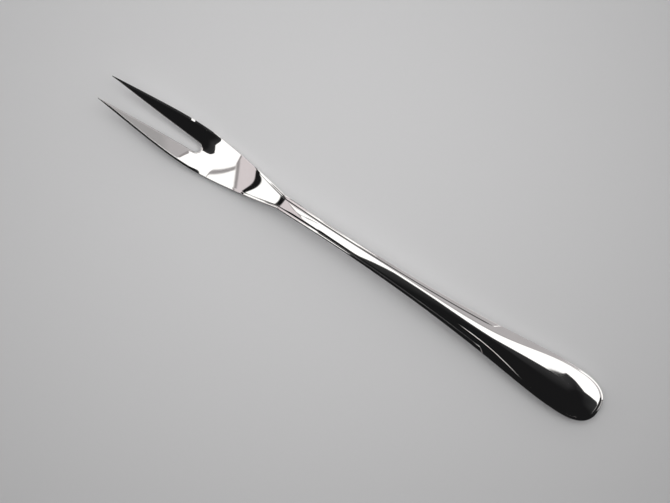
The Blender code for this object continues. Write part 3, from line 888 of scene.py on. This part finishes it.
@dataclass
class GridPiece:
    """A piece whose half is one grid bent over its rows of points, then mirrored and closed."""

    form: ForkForm
    finish: bpy.types.Material
    slot: str = "polished_metal"
    weld: float = 0.000001
    crease_angle: float = 38.0
    front_depth: float = 0.0009

    def place(self, station: Array, across: Array, height: Array) -> Array:
        """Points of the part from their stations, distances off the middle plane and heights."""
        station, across, height = np.broadcast_arrays(station, across, height)
        return np.stack([station - self.form.length / 2, across, height], axis=-1)

    def points(self, piece: bpy.types.Object) -> Array:
        """The piece's points, one row each.

        Args:
            piece: a mesh object.

        Returns:
            The points.
        """
        points = np.empty(len(piece.data.vertices) * 3)
        piece.data.vertices.foreach_get("co", points)
        return points.reshape(-1, 3)

    def bent_grid(self, name: str, rows: Array) -> bpy.types.Object:
        """Add a grid and bend it over rows of points.

        Args:
            name: name of the piece.
            rows: points by row, column and axis.

        Returns:
            The open half of the piece.
        """
        count, columns = rows.shape[:2]
        bpy.ops.object.select_all(action="DESELECT")
        bpy.ops.mesh.primitive_grid_add(x_subdivisions=columns - 1, y_subdivisions=count - 1, size=1.0)
        piece = bpy.context.active_object
        piece.name = piece.data.name = name
        piece.data.vertices.foreach_set("co", rows.reshape(-1).astype(np.float32))
        piece.data.update()
        return piece

    def close(self, piece: bpy.types.Object) -> None:
        """Weld the half, open it along the middle plane, mirror it and turn its faces outwards.

        Args:
            piece: the half that bent_grid made.
        """
        bpy.ops.object.mode_set(mode="EDIT")
        bpy.ops.mesh.select_all(action="SELECT")
        bpy.ops.mesh.remove_doubles(threshold=self.weld)
        bpy.ops.mesh.dissolve_degenerate(threshold=self.weld)
        bpy.ops.mesh.select_all(action="DESELECT")
        bpy.ops.object.mode_set(mode="OBJECT")
        in_plane = np.abs(self.points(piece)[:, 1]) < self.weld
        for face in piece.data.polygons:
            face.select = bool(in_plane[list(face.vertices)].all())
        bpy.ops.object.mode_set(mode="EDIT")
        bpy.ops.mesh.select_mode(type="FACE")
        bpy.ops.mesh.delete(type="ONLY_FACE")
        bpy.ops.object.mode_set(mode="OBJECT")
        mirror = piece.modifiers.new("other_half", "MIRROR")
        mirror.use_axis = (False, True, False)
        mirror.merge_threshold = self.weld
        bpy.ops.object.modifier_apply(modifier=mirror.name)
        bpy.ops.object.mode_set(mode="EDIT")
        bpy.ops.mesh.select_mode(type="VERT")
        bpy.ops.mesh.select_all(action="SELECT")
        bpy.ops.mesh.delete_loose()
        bpy.ops.mesh.select_all(action="SELECT")
        bpy.ops.mesh.normals_make_consistent(inside=False)
        bpy.ops.object.mode_set(mode="OBJECT")
        bpy.ops.object.shade_smooth_by_angle(angle=math.radians(self.crease_angle))

    def painted_groove_shade(self, piece: bpy.types.Object) -> None:
        """Paint the shade of the groove along the thread into an attribute, for the finish.

        Args:
            piece: a closed piece.
        """
        x, y, z = self.points(piece).T
        station = x + self.form.length / 2
        on_front = z > self.form.front_line(station) - self.front_depth
        tone = np.where(on_front, self.form.groove_painted_shade(station, np.abs(y)), 0.0)
        groove_shade_marks = piece.data.attributes.new(PAINTED_GROOVE_SHADE, "FLOAT", "POINT")
        groove_shade_marks.data.foreach_set("value", tone.astype(np.float32))

    def finished(self, node: str, rows: Array) -> bpy.types.Object:
        """Model the piece, give it its finish, fix it to the frame and hide the solid it stands for.

        Args:
            node: name of the solid in the frame.
            rows: points by row, column and axis.

        Returns:
            The dressed piece.
        """
        piece = self.bent_grid(node + DRESSED, rows)
        self.close(piece)
        # Paints the groove's shade into the piece's colour attribute
        self.painted_groove_shade(piece)
        piece.data.materials.clear()
        piece.data.materials.append(self.finish)
        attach(piece, "root")
        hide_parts(node)
        LOG.info("%s: %d faces", piece.name, len(piece.data.polygons))
        return piece


@dataclass(frozen=True)
class Lines:
    """Lines from the middle of the handle to its outline, one for each row of points."""

    foot: Array
    end_station: Array
    end_across: Array

    @property
    def reach(self) -> Array:
        """Length of each line."""
        return np.hypot(self.end_station - self.foot, self.end_across)

    def at(self, offset: Array) -> Tuple[Array, Array]:
        """Stations and distances off the middle plane of points along the lines."""
        share = offset / self.reach
        return self.foot + (self.end_station - self.foot) * share, self.end_across * share


@dataclass
class HandleShell(GridPiece):
    """One pressed half of the handle, with its cavity."""

    side: ShellSide = ShellSide.FRONT
    wall: float = 0.0006
    cavity_room: float = 0.0009
    seam_gap: float = 0.00006
    brink_share: float = 0.4
    facet_bunching: float = 1.2
    shank_rows: int = 92
    stem_rows: int = 80
    spur_rows: int = 36
    spatula_rows: int = 56
    rest_rows: int = 12
    fan_rows: int = 60
    panel_columns: int = 28
    facet_columns: int = 14
    groove_columns: int = 5
    band_columns: int = 22
    back_columns: int = 36
    side_columns: int = 4
    cavity_columns: int = 14
    cavity_tries: int = 160

    @property
    def lift(self) -> float:
        """How far the shell's edge stands off the middle of the seam."""
        return self.seam_gap / 2 if self.side is ShellSide.FRONT else -self.seam_gap / 2

    def strips(self) -> Lines:
        """Lines from the neck round to the handle's end.

        Returns:
            The lines.
        """
        form = self.form
        spur_end = form.shoulder_at + form.spur_length + form.spur_wall
        rest_end = form.handle_widest_at + form.handle_rest_length / 2
        straight = joined(
            (form.neck_at - self.seam_gap, form.stem_at, self.shank_rows),
            (form.stem_at, spur_end, self.stem_rows),
            (spur_end, form.shoulder_at, self.spur_rows),
            (form.shoulder_at, rest_end, self.spatula_rows),
            (rest_end, form.handle_widest_at, self.rest_rows),
        )
        turn = np.linspace(0, QUARTER_TURN, self.fan_rows)
        along = np.maximum(np.sin(turn), 0.0) ** (2 / form.end_roundness)
        across = np.maximum(np.cos(turn), 0.0) ** (2 / form.end_roundness)
        across[-1] = 0.0
        foot = np.concatenate([straight, np.full(len(turn), form.handle_widest_at)])
        end_station = np.concatenate([straight, form.handle_widest_at * (1 - along)])
        end_across = np.concatenate([form.half_width(straight), form.handle_width / 2 * across])
        return Lines(foot[:, None], end_station[:, None], end_across[:, None])

    def front_columns(self, lines: Lines) -> Array:
        """Offsets of the points across the front: the panel, the facet, the groove and the edge band.

        Args:
            lines: the shell's lines.

        Returns:
            The offsets by row and column.
        """
        reach = lines.reach
        panel = self.form.panel_edge(lines.foot, reach)
        groove = reach - self.form.edge_band(lines.foot, reach)
        brink = panel + (groove - panel) * self.brink_share
        brink = np.maximum(groove - self.form.groove_width / 2, brink)
        parts = [
            panel * np.sin(ramp(self.panel_columns) * QUARTER_TURN),
            panel + (brink - panel) * ramp(self.facet_columns) ** self.facet_bunching,
            brink + (groove - brink) * ramp(self.groove_columns),
            groove + (reach - groove) * ramp(self.band_columns + 1, whole=True),
        ]
        return np.concatenate(parts, axis=1)

    def outside(self, lines: Lines) -> Array:
        """Points over the outside of the shell, from the middle line to the seam.

        Args:
            lines: the shell's lines.

        Returns:
            The points by row and column.
        """
        foot, reach = lines.foot, lines.reach
        if self.side is ShellSide.FRONT:
            offset, surface = self.front_columns(lines), self.form.handle_front
        else:
            offset, surface = reach * ramp(self.back_columns, whole=True), self.form.handle_back
        station, across = lines.at(offset)
        face = self.place(station, across, surface(station, foot, offset, reach))
        edge = surface(lines.end_station, foot, reach, reach)
        seam = self.form.seam_height(lines.end_station, foot, reach) + self.lift
        down = edge + (seam - edge) * ramp(self.side_columns + 1, whole=True)[:, 1:]
        return np.concatenate([face, self.place(lines.end_station, lines.end_across, down)], axis=1)

    def cavity(self, lines: Lines, offset: Array) -> Tuple[Array, Array]:
        """Heights of the cavity's floor and roof.

        Args:
            lines: the shell's lines.
            offset: distances along the lines from their feet.

        Returns:
            The heights of the floor and of the roof.
        """
        station = lines.at(offset)[0]
        near = np.minimum(offset + self.wall, lines.reach)
        roof = self.form.front_line(station) - self.form.relief_drop(lines.foot, near, lines.reach)
        floor = self.form.handle_back(station, lines.foot, near, lines.reach)
        return floor + self.wall, roof - self.wall

    def cavity_end(self, lines: Lines) -> Array:
        """Distance along each line to the end of the cavity: the edge's wall, or where it gets too low.

        Args:
            lines: the shell's lines.

        Returns:
            One distance for each line.
        """
        offset = (lines.reach - self.wall) * np.linspace(1, 0, self.cavity_tries)[None, :]
        floor, roof = self.cavity(lines, offset)
        first = np.argmax(roof - floor >= self.cavity_room, axis=1)
        return np.take_along_axis(offset, first[:, None], axis=1)

    def inside(self, lines: Lines) -> Array:
        """Points over the cavity, from the seam back to the middle line.

        Args:
            lines: the shell's lines.

        Returns:
            The points by row and column.
        """
        offset = self.cavity_end(lines) * np.linspace(1, 0, self.cavity_columns)[None, :]
        station, across = lines.at(offset)
        floor, roof = self.cavity(lines, offset)
        seam = self.form.seam_height(station[:, :1], lines.foot, lines.reach) + self.lift
        lip = self.place(station[:, :1], across[:, :1], seam)
        wall = self.place(station, across, roof if self.side is ShellSide.FRONT else floor)
        return np.concatenate([lip, wall], axis=1)

    def build(self) -> bpy.types.Object:
        """Model the shell.

        Returns:
            The finished, dressed piece.
        """
        lines = self.strips()
        outer, inner = self.outside(lines), self.inside(lines)
        spread = np.linspace(inner.shape[1] - 1, 0, outer.shape[1]).round().astype(int)
        neck = np.concatenate([inner[:1, spread], inner[:1]], axis=1)
        rows = np.concatenate([neck, np.concatenate([outer, inner], axis=1)], axis=0)
        return self.finished(self.side.value, rows)


@dataclass
class ForkHead(GridPiece):
    """The forged head: two tines, the dished root and the neck, with the tang behind it."""

    node: str = "fork_head"
    tang_length: float = 0.0800
    tang_root_width: float = 0.0027
    tang_root_thickness: float = 0.0010
    tang_end_width: float = 0.0016
    tang_end_thickness: float = 0.0009
    tang_rows: int = 12
    neck_rows: int = 44
    rest_rows: int = 18
    root_rows: int = 20
    slot_root_rows: int = 18
    tine_rows: int = 90
    inner_columns: int = 8
    middle_columns: int = 24
    band_columns: int = 14
    side_columns: int = 3
    back_columns: int = 24

    def sections(self) -> Tuple[Array, Array]:
        """Stations of the head's rows and the slot's edge at each.

        Returns:
            The stations and the distances from the middle plane to the slot.
        """
        form = self.form
        solid = joined(
            (form.neck_at, form.head_rest_start, self.neck_rows),
            (form.head_rest_start, form.head_rest_end, self.rest_rows),
            (form.head_rest_end, form.slot_root_at, self.root_rows),
        )
        turn = np.linspace(0, QUARTER_TURN, self.slot_root_rows)
        root = form.slot_start - form.slot_root_radius * np.cos(turn)
        tines = np.linspace(form.slot_start, form.length, self.tine_rows + 1)[1:]
        station = np.concatenate([solid, root, tines])
        slot = np.concatenate([solid * 0, form.slot_root_radius * np.sin(turn), form.slot_outline(tines)])
        return station[:, None], slot[:, None]

    def section_rows(self, station: Array, slot: Array) -> Array:
        """Half sections from the slot's top edge, over the outer edge, back under and up the slot's wall.

        Args:
            station: stations of the rows.
            slot: the slot's edge at each row.

        Returns:
            The points by row and column.
        """
        form = self.form
        reach = form.half_width(station)
        width = reach - slot
        band = form.edge_band(station, width)
        inner = np.minimum(form.slot_edge_width, width / 4)
        parts = [
            inner * ramp(self.inner_columns),
            inner + (width - band - inner) * ramp(self.middle_columns),
            width - band + band * ramp(self.band_columns + 1, whole=True),
        ]
        across = slot + np.concatenate(parts, axis=1)
        top = form.head_front(station, across, reach, slot)
        below = slot + width * (1 + np.cos(ramp(self.back_columns, whole=True) * math.pi)) / 2
        bottom = form.head_back(station, below, reach, slot)
        share = ramp(self.side_columns + 2, whole=True)[:, 1:-1]
        side = top[:, -1:] + (bottom[:, :1] - top[:, -1:]) * share
        loop = [(across, top), (reach, side), (below, bottom), (across[:, :1], top[:, :1])]
        return np.concatenate([self.place(station, *points) for points in loop], axis=1)

    def tang(self, columns: int) -> Array:
        """Half ovals round the tang, from its closed end to the neck.

        Args:
            columns: points in each row.

        Returns:
            The points by row and column.
        """
        form = self.form
        station = np.linspace(form.neck_at - self.tang_length, form.neck_at, self.tang_rows)[:, None]
        share = ramp(self.tang_rows, whole=True).T
        across = (self.tang_end_width + (self.tang_root_width - self.tang_end_width) * share) / 2
        up = (self.tang_end_thickness + (self.tang_root_thickness - self.tang_end_thickness) * share) / 2
        middle = form.underside(station) + form.thickness(station) / 2
        turn = np.append(np.linspace(QUARTER_TURN, -QUARTER_TURN, columns - 1), QUARTER_TURN)[None, :]
        oval = self.place(station, across * np.maximum(np.cos(turn), 0.0), middle + up * np.sin(turn))
        end = self.place(station[:1], np.zeros((1, columns)), middle[:1])
        return np.concatenate([end, oval], axis=0)

    def build(self) -> bpy.types.Object:
        """Model the head.

        Returns:
            The finished, dressed piece.
        """
        body = self.section_rows(*self.sections())
        point = np.broadcast_to(body[-1].mean(axis=0), body[-1:].shape)
        return self.finished(self.node, np.concatenate([self.tang(body.shape[1]), body, point], axis=0))


@dataclass
class CementCore:
    """The cement inside the handle: its solid stays and gets its finish."""

    node: bpy.types.Object
    finish: bpy.types.Material

    def dress(self) -> None:
        """Put the finish on the solid."""
        self.node.data.materials.clear()
        self.node.data.materials.append(self.finish)
        LOG.info("%s: dressed", self.node.name)


class Sky(NodeBench):
    """The bench of the studio's world, which knows the angles of every direction.

    r and f are degrees from straight up, towards the picture's right and towards its top.
    """

    def __init__(self, tree: bpy.types.NodeTree, right: Vector, ahead: Vector) -> None:
        """Lay the nodes that the panels share.

        Args:
            tree: the world's node tree.
            right: the picture's right, on the floor.
            ahead: the picture's top, on the floor.
        """
        super().__init__(tree)
        self.towards = self.add("ShaderNodeTexCoord").outputs["Generated"]
        self.up, self.ahead = self.part(UP), self.part(ahead)
        self.r, self.f = self.angle(self.part(right)), self.angle(self.ahead)

    def part(self, axis: Vector) -> Socket:
        """Part of the direction along an axis."""
        return self.vector("DOT_PRODUCT", self.towards, axis).outputs["Value"]

    def angle(self, part: Socket) -> Socket:
        """Degrees from straight up, for the part along an axis."""
        return self.math("MULTIPLY", self.math("ARCTAN2", part, self.up), math.degrees(1.0))

    def turned(self, right: float, ahead: float) -> Socket:
        """The two angles, each times a factor, added."""
        return self.math("ADD", self.math("MULTIPLY", self.r, right), self.math("MULTIPLY", self.f, ahead))

    def line(self, slope: float, start: float) -> Socket:
        """A straight line over the angle to the right."""
        return self.math("ADD", self.math("MULTIPLY", self.r, slope), start)

    def past(self, value: Socket, start: float, slope: float) -> Socket:
        """A slope times how far a value is past its start."""
        beyond = self.math("MAXIMUM", self.math("SUBTRACT", value, start), 0.0)
        return self.math("MULTIPLY", beyond, slope)

    def bar(self, value: Socket, middle: float, edge: Pair) -> Socket:
        """1 near the middle value, with edges that fall from the second distance to the first."""
        return self.step(edge, self.math("ABSOLUTE", self.math("SUBTRACT", value, middle)))

    def oval(self, place: Sequence[Socket], middle: Pair, radii: Pair, edge: Pair) -> Socket:
        """1 inside an oval.

        Args:
            place: the two running sockets.
            middle: the oval's middle.
            radii: its radii.
            edge: distances, in radii, where it is gone and where it is whole.

        Returns:
            The result's socket.
        """
        squares = []
        for value, at, radius in zip(place, middle, radii):
            share = self.math("DIVIDE", self.math("SUBTRACT", value, at), radius)
            squares.append(self.math("POWER", share, 2.0))
        return self.step(edge, self.math("SQRT", self.math("ADD", *squares)))


@dataclass(frozen=True)
class Panel:
    """Something of the studio that the metal reflects; its sizes are degrees unless they are factors."""

    def lay(self, sky: Sky, tone: Socket) -> Socket:
        """Lay the panel over what is there.

        Args:
            sky: the world's bench.
            tone: the colour seen in each direction so far.

        Returns:
            The colour with the panel in it.
        """
        raise NotImplementedError


@dataclass(frozen=True)
class Softbox(Panel):
    """The white box of light overhead, the dark bars of its frame and a shade on the wall beyond."""

    left: Pair = (-12.0, -11.2)
    left_slant: Pair = (9.0, 0.9)
    right: Pair = (53.0, 51.0)
    top: Pair = (16.3, 15.0)
    top_lean: Pair = (22.0, 0.635)
    shade_at: Pair = (23.6, 22.6)
    shade_radii: Pair = (4.4, 4.0)
    shade_edge: Pair = (1.45, 0.55)
    shade: Colour = (0.40, 0.39, 0.39)
    boom_turn: Pair = (0.442, 1.0)
    boom_at: float = 4.28
    boom_edge: Pair = (0.26, 0.14)
    boom_end: Pair = (-4.6, -5.4)
    bar_at: float = 15.5
    bar_edge: Pair = (1.15, 0.75)
    bar_left: Pair = (11.7, 12.7)
    bar_right: Pair = (19.3, 18.3)
    side_at: float = -11.9
    side_edge: Pair = (0.45, 0.15)
    frame: Colour = (0.35, 0.33, 0.33)

    def lay(self, sky: Sky, tone: Socket) -> Socket:
        """Lay the shade, the box and its frame.

        Args:
            sky: the world's bench.
            tone: the colour seen in each direction so far.

        Returns:
            The new colour.
        """
        slanted = sky.math("ADD", sky.r, sky.past(sky.f, *self.left_slant))
        leaning = sky.math("SUBTRACT", sky.f, sky.past(sky.r, *self.top_lean))
        ends = sky.step(self.left, slanted), sky.step(self.right, sky.r), sky.step(self.top, leaning)
        box = sky.fold("MULTIPLY", *ends)
        shade = sky.oval((sky.r, sky.f), self.shade_at, self.shade_radii, self.shade_edge)
        tone = sky.mix(box, sky.mix(shade, tone, self.shade), WHITE)
        boom = sky.bar(sky.turned(*self.boom_turn), self.boom_at, self.boom_edge)
        boom = sky.fold("MULTIPLY", boom, sky.step(self.boom_end, sky.r), box)
        bar = sky.bar(sky.f, self.bar_at, self.bar_edge)
        bar = sky.fold("MULTIPLY", bar, sky.step(self.bar_left, sky.r), sky.step(self.bar_right, sky.r))
        frame = sky.fold("MAXIMUM", boom, bar, sky.bar(slanted, self.side_at, self.side_edge))
        return sky.mix(frame, tone, self.frame)


@dataclass(frozen=True)
class FarPanels(Panel):
    """The dark gap past the box, the white panel behind it and a bright strip beside them."""

    along: Pair = (-0.673, 0.798)
    gap: Pair = (27.0, 27.8)
    panel: Pair = (30.2, 31.0)
    panel_end: Pair = (40.0, 44.0)
    outward: Pair = (0.547, 0.837)
    strip_at: Pair = (51.0, -1.0)
    strip_radii: Pair = (11.5, 4.6)
    strip_edge: Pair = (1.06, 0.94)

    def lay(self, sky: Sky, tone: Socket) -> Socket:
        """Lay the gap, the panel and the strip.

        Args:
            sky: the world's bench.
            tone: the colour seen in each direction so far.

        Returns:
            The new colour.
        """
        along = sky.turned(*self.along)
        for edge, colour in ((self.gap, BLACK), (self.panel, WHITE), (self.panel_end, DIM_GREY)):
            tone = sky.mix(sky.step(edge, along), tone, colour)
        place = sky.turned(*self.outward), along
        return sky.mix(sky.oval(place, self.strip_at, self.strip_radii, self.strip_edge), tone, WHITE)


@dataclass(frozen=True)
class DarkSide(Panel):
    """The dark side of the studio, with an uneven edge: a hump, a ridge, a flat, a peak and a fall."""

    hump_rise: Pair = (2.2, 17.16)
    hump_slope: Pair = (-1.12, -3.0)
    hump_top: float = 2.6
    ridge: Pair = (0.55, -1.4)
    ridge_low: float = -1.6
    ridge_top: float = 2.15
    ridge_end: Pair = (10.3, 12.0)
    flat: float = -2.1
    climb_at: float = 14.9
    climb_length: float = 4.0
    climb_slope: float = 1.6
    climb_bow: float = -0.09
    steep: Pair = (-2.4, 44.88)
    gentle: Pair = (-1.2, 18.54)
    lowest: float = -17.0
    edge: Pair = (-0.06, 0.06)
    fade: Pair = (-0.5, 8.5)
    cloud_scale: float = 10.0
    cloud_depth: float = 7.0
    dusk: Colour = (0.036, 0.036, 0.037)

    def top(self, sky: Sky) -> Socket:
        """How far up the dark side reaches, from left to right.

        Args:
            sky: the world's bench.

        Returns:
            Degrees towards the picture's top.
        """
        ridge = sky.math("MAXIMUM", sky.line(*self.ridge), self.ridge_low)
        ridge = sky.math("MINIMUM", ridge, self.ridge_top)
        ended = sky.step(self.ridge_end, sky.r)
        kept = sky.math("MULTIPLY", ridge, sky.math("SUBTRACT", 1.0, ended))
        past = sky.math("MINIMUM", sky.past(sky.r, self.climb_at, 1.0), self.climb_length)
        bow = sky.math("ADD", sky.math("MULTIPLY", past, self.climb_bow), self.climb_slope)
        flat, climb = sky.math("MULTIPLY", ended, self.flat), sky.math("MULTIPLY", past, bow)
        peak = sky.fold("ADD", kept, flat, climb)
        fall = sky.fold("MAXIMUM", sky.line(*self.steep), sky.line(*self.gentle), self.lowest)
        hump = sky.fold("MINIMUM", sky.line(*self.hump_slope), sky.line(*self.hump_rise), self.hump_top)
        return sky.math("MAXIMUM", sky.math("MINIMUM", peak, fall), hump)

    def lay(self, sky: Sky, tone: Socket) -> Socket:
        """Lay the dark side, cloudy towards its edge.

        Args:
            sky: the world's bench.
            tone: the colour seen in each direction so far.

        Returns:
            The new colour.
        """
        below = sky.math("SUBTRACT", self.top(sky), sky.f)
        cloud = sky.math("SUBTRACT", sky.noise(sky.towards, self.cloud_scale), 0.5)
        depth = sky.math("ADD", below, sky.math("MULTIPLY", cloud, self.cloud_depth))
        dark = sky.mix(sky.step(self.fade, depth), self.dusk, BLACK)
        return sky.mix(sky.step(self.edge, below), tone, dark)


@dataclass(frozen=True)
class Card(Panel):
    """A card that throws a little light: its ends to the right and ahead."""

    across: Pair
    ahead: Pair
    colour: Colour
    soft: float = 1.0

    def lay(self, sky: Sky, tone: Socket) -> Socket:
        """Lay the card.

        Args:
            sky: the world's bench.
            tone: the colour seen in each direction so far.

        Returns:
            The new colour.
        """
        ends = []
        for value, (low, high) in ((sky.r, self.across), (sky.f, self.ahead)):
            ends.append(sky.step((low - self.soft, low + self.soft), value))
            ends.append(sky.step((high + self.soft, high - self.soft), value))
        return sky.mix(sky.fold("MULTIPLY", *ends), tone, self.colour)


@dataclass(frozen=True)
class SmallLamp(Panel):
    """A small lamp that glints on the edges of the handle."""

    turn: Pair = (0.825, -0.566)
    start: Pair = (9.36, 9.52)
    end: Pair = (10.9, 9.9)
    down: Pair = (-0.566, -0.825)
    down_at: float = 20.0
    down_edge: Pair = (1.5, 0.9)
    colour: Colour = (2.0, 2.0, 1.95)

    def lay(self, sky: Sky, tone: Socket) -> Socket:
        """Lay the lamp.

        Args:
            sky: the world's bench.
            tone: the colour seen in each direction so far.

        Returns:
            The new colour.
        """
        turned = sky.turned(*self.turn)
        low = sky.bar(sky.turned(*self.down), self.down_at, self.down_edge)
        lamp = sky.fold("MULTIPLY", sky.step(self.start, turned), sky.step(self.end, turned), low)
        return sky.mix(lamp, tone, self.colour)


@dataclass(frozen=True)
class LowSky(Panel):
    """The low sky round the studio, dark at the horizon; its sizes are parts of a direction."""

    height: Pair = (0.02, 0.36)
    side: Pair = (-0.65, -0.15)
    meets: Pair = (0.46, 0.24)
    horizon: Colour = (0.16, 0.16, 0.165)
    far: Colour = (0.95, 0.94, 0.93)

    def lay(self, sky: Sky, tone: Socket) -> Socket:
        """Lay the low sky.

        Args:
            sky: the world's bench.
            tone: the colour seen in each direction so far.

        Returns:
            The new colour.
        """
        lit = sky.math("MULTIPLY", sky.step(self.height, sky.up), sky.step(self.side, sky.ahead))
        low = sky.mix(lit, self.horizon, self.far)
        return sky.mix(sky.step(self.meets, sky.up), tone, low)


@dataclass
class Studio:
    """The pale floor, the soft studio light with its dark gaps, and the camera over the fork."""

    floor_size: float = 12.0
    floor_drop: float = 0.0002
    axis_angle: float = 33.2
    look_at: Pair = (0.00462, 0.00395)
    elevation: float = 88.5
    distance: float = 0.6
    field_width: float = 0.23359
    sensor: float = 36.0
    clip: Pair = (0.01, 50.0)
    wall_turn: Pair = (-8.0, 16.0)
    side_card: Card = Card((33.0, 52.0), (-29.0, -18.0), (0.42, 0.41, 0.41))
    low_card: Card = Card((1.5, 15.0), (-36.5, -31.5), WARM_GREY)
    key_power: float = 1.92
    key_size: float = 0.9
    key_distance: float = 0.8
    key_lean: Pair = (2.0, 4.0)

    def __post_init__(self) -> None:
        """The picture's right and up directions on the floor."""
        turn = math.radians(self.axis_angle)
        self.right = Vector((-math.cos(turn), -math.sin(turn), 0.0))
        self.ahead = Vector((math.sin(turn), -math.cos(turn), 0.0))

    def floor(self) -> None:
        """Lay the floor."""
        bpy.ops.object.select_all(action="DESELECT")
        bpy.ops.mesh.primitive_plane_add(size=self.floor_size, location=(0.0, 0.0, -self.floor_drop))
        sheet = bpy.context.active_object
        sheet.name = "pale_floor"
        sheet.data.materials.append(PaleFloor().make())

    def light(self) -> None:
        """Set the studio round the fork, by direction: grey walls and the panels before them."""
        world = bpy.data.worlds.new("studio")
        bpy.context.scene.world = world
        world.use_nodes = True
        sky = Sky(world.node_tree, self.right, self.ahead)
        tone = sky.mix(sky.step(self.wall_turn, sky.r), WARM_GREY, DIM_GREY)
        panels = (Softbox(), FarPanels(), DarkSide(), self.side_card, self.low_card, SmallLamp(), LowSky())
        for panel in panels:
            tone = panel.lay(sky, tone)
        background = sky.add("ShaderNodeBackground")
        sky.feed(background.inputs["Color"], tone)
        output = sky.add("ShaderNodeOutputWorld")
        sky.feed(output.inputs["Surface"], background.outputs["Background"])

    def key(self) -> None:
        """Hang a soft lamp over the fork, for the table alone, not for the reflections."""
        lamp = bpy.data.lights.new("soft_lamp", "AREA")
        lamp.energy = self.key_power
        lamp.size = self.key_size
        holder = bpy.data.objects.new("soft_lamp", lamp)
        holder.visible_glossy = False
        bpy.context.scene.collection.objects.link(holder)
        lean_right, lean_ahead = (math.tan(math.radians(angle)) for angle in self.key_lean)
        towards = (UP + self.right * lean_right + self.ahead * lean_ahead).normalized()
        holder.location = towards * self.key_distance
        holder.rotation_euler = towards.to_track_quat("Z", "Y").to_euler()

    def camera(self) -> None:
        """Hang the camera almost straight over the fork, turned as the fork lies in the picture."""
        data = bpy.data.cameras.new("camera")
        data.sensor_fit = "HORIZONTAL"
        data.sensor_width = self.sensor
        data.lens = self.sensor * self.distance / self.field_width
        data.clip_start, data.clip_end = self.clip
        camera = bpy.data.objects.new("camera", data)
        bpy.context.scene.collection.objects.link(camera)
        rise = math.radians(self.elevation)
        back = UP * math.sin(rise) - self.ahead * math.cos(rise)
        frame = Matrix((self.right, back.cross(self.right), back)).transposed().to_4x4()
        frame.translation = Vector((*self.look_at, 0.0)) + back * self.distance
        camera.matrix_world = frame
        bpy.context.scene.camera = camera

    def build(self) -> None:
        """Set up the floor, the lights and the camera."""
        self.floor()
        self.light()
        self.key()
        self.camera()
        bpy.context.scene.view_settings.view_transform = "Standard"
        LOG.info("studio: ready")


def main() -> None:
    """Build the fork's pieces in order, dress them and set up the studio."""
    logging.basicConfig(level=logging.INFO, format="%(name)s: %(message)s")
    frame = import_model()
    form = ForkForm()
    metal = PolishedMetal().make()
    ForkHead(form, metal).build()
    for side in ShellSide:
        HandleShell(form, metal, side=side).build()
    CementCore(frame["nodes"]["handle_cement_core"], HandleCement().make()).dress()
    Studio().build()


if __name__ == "__main__":
    main()
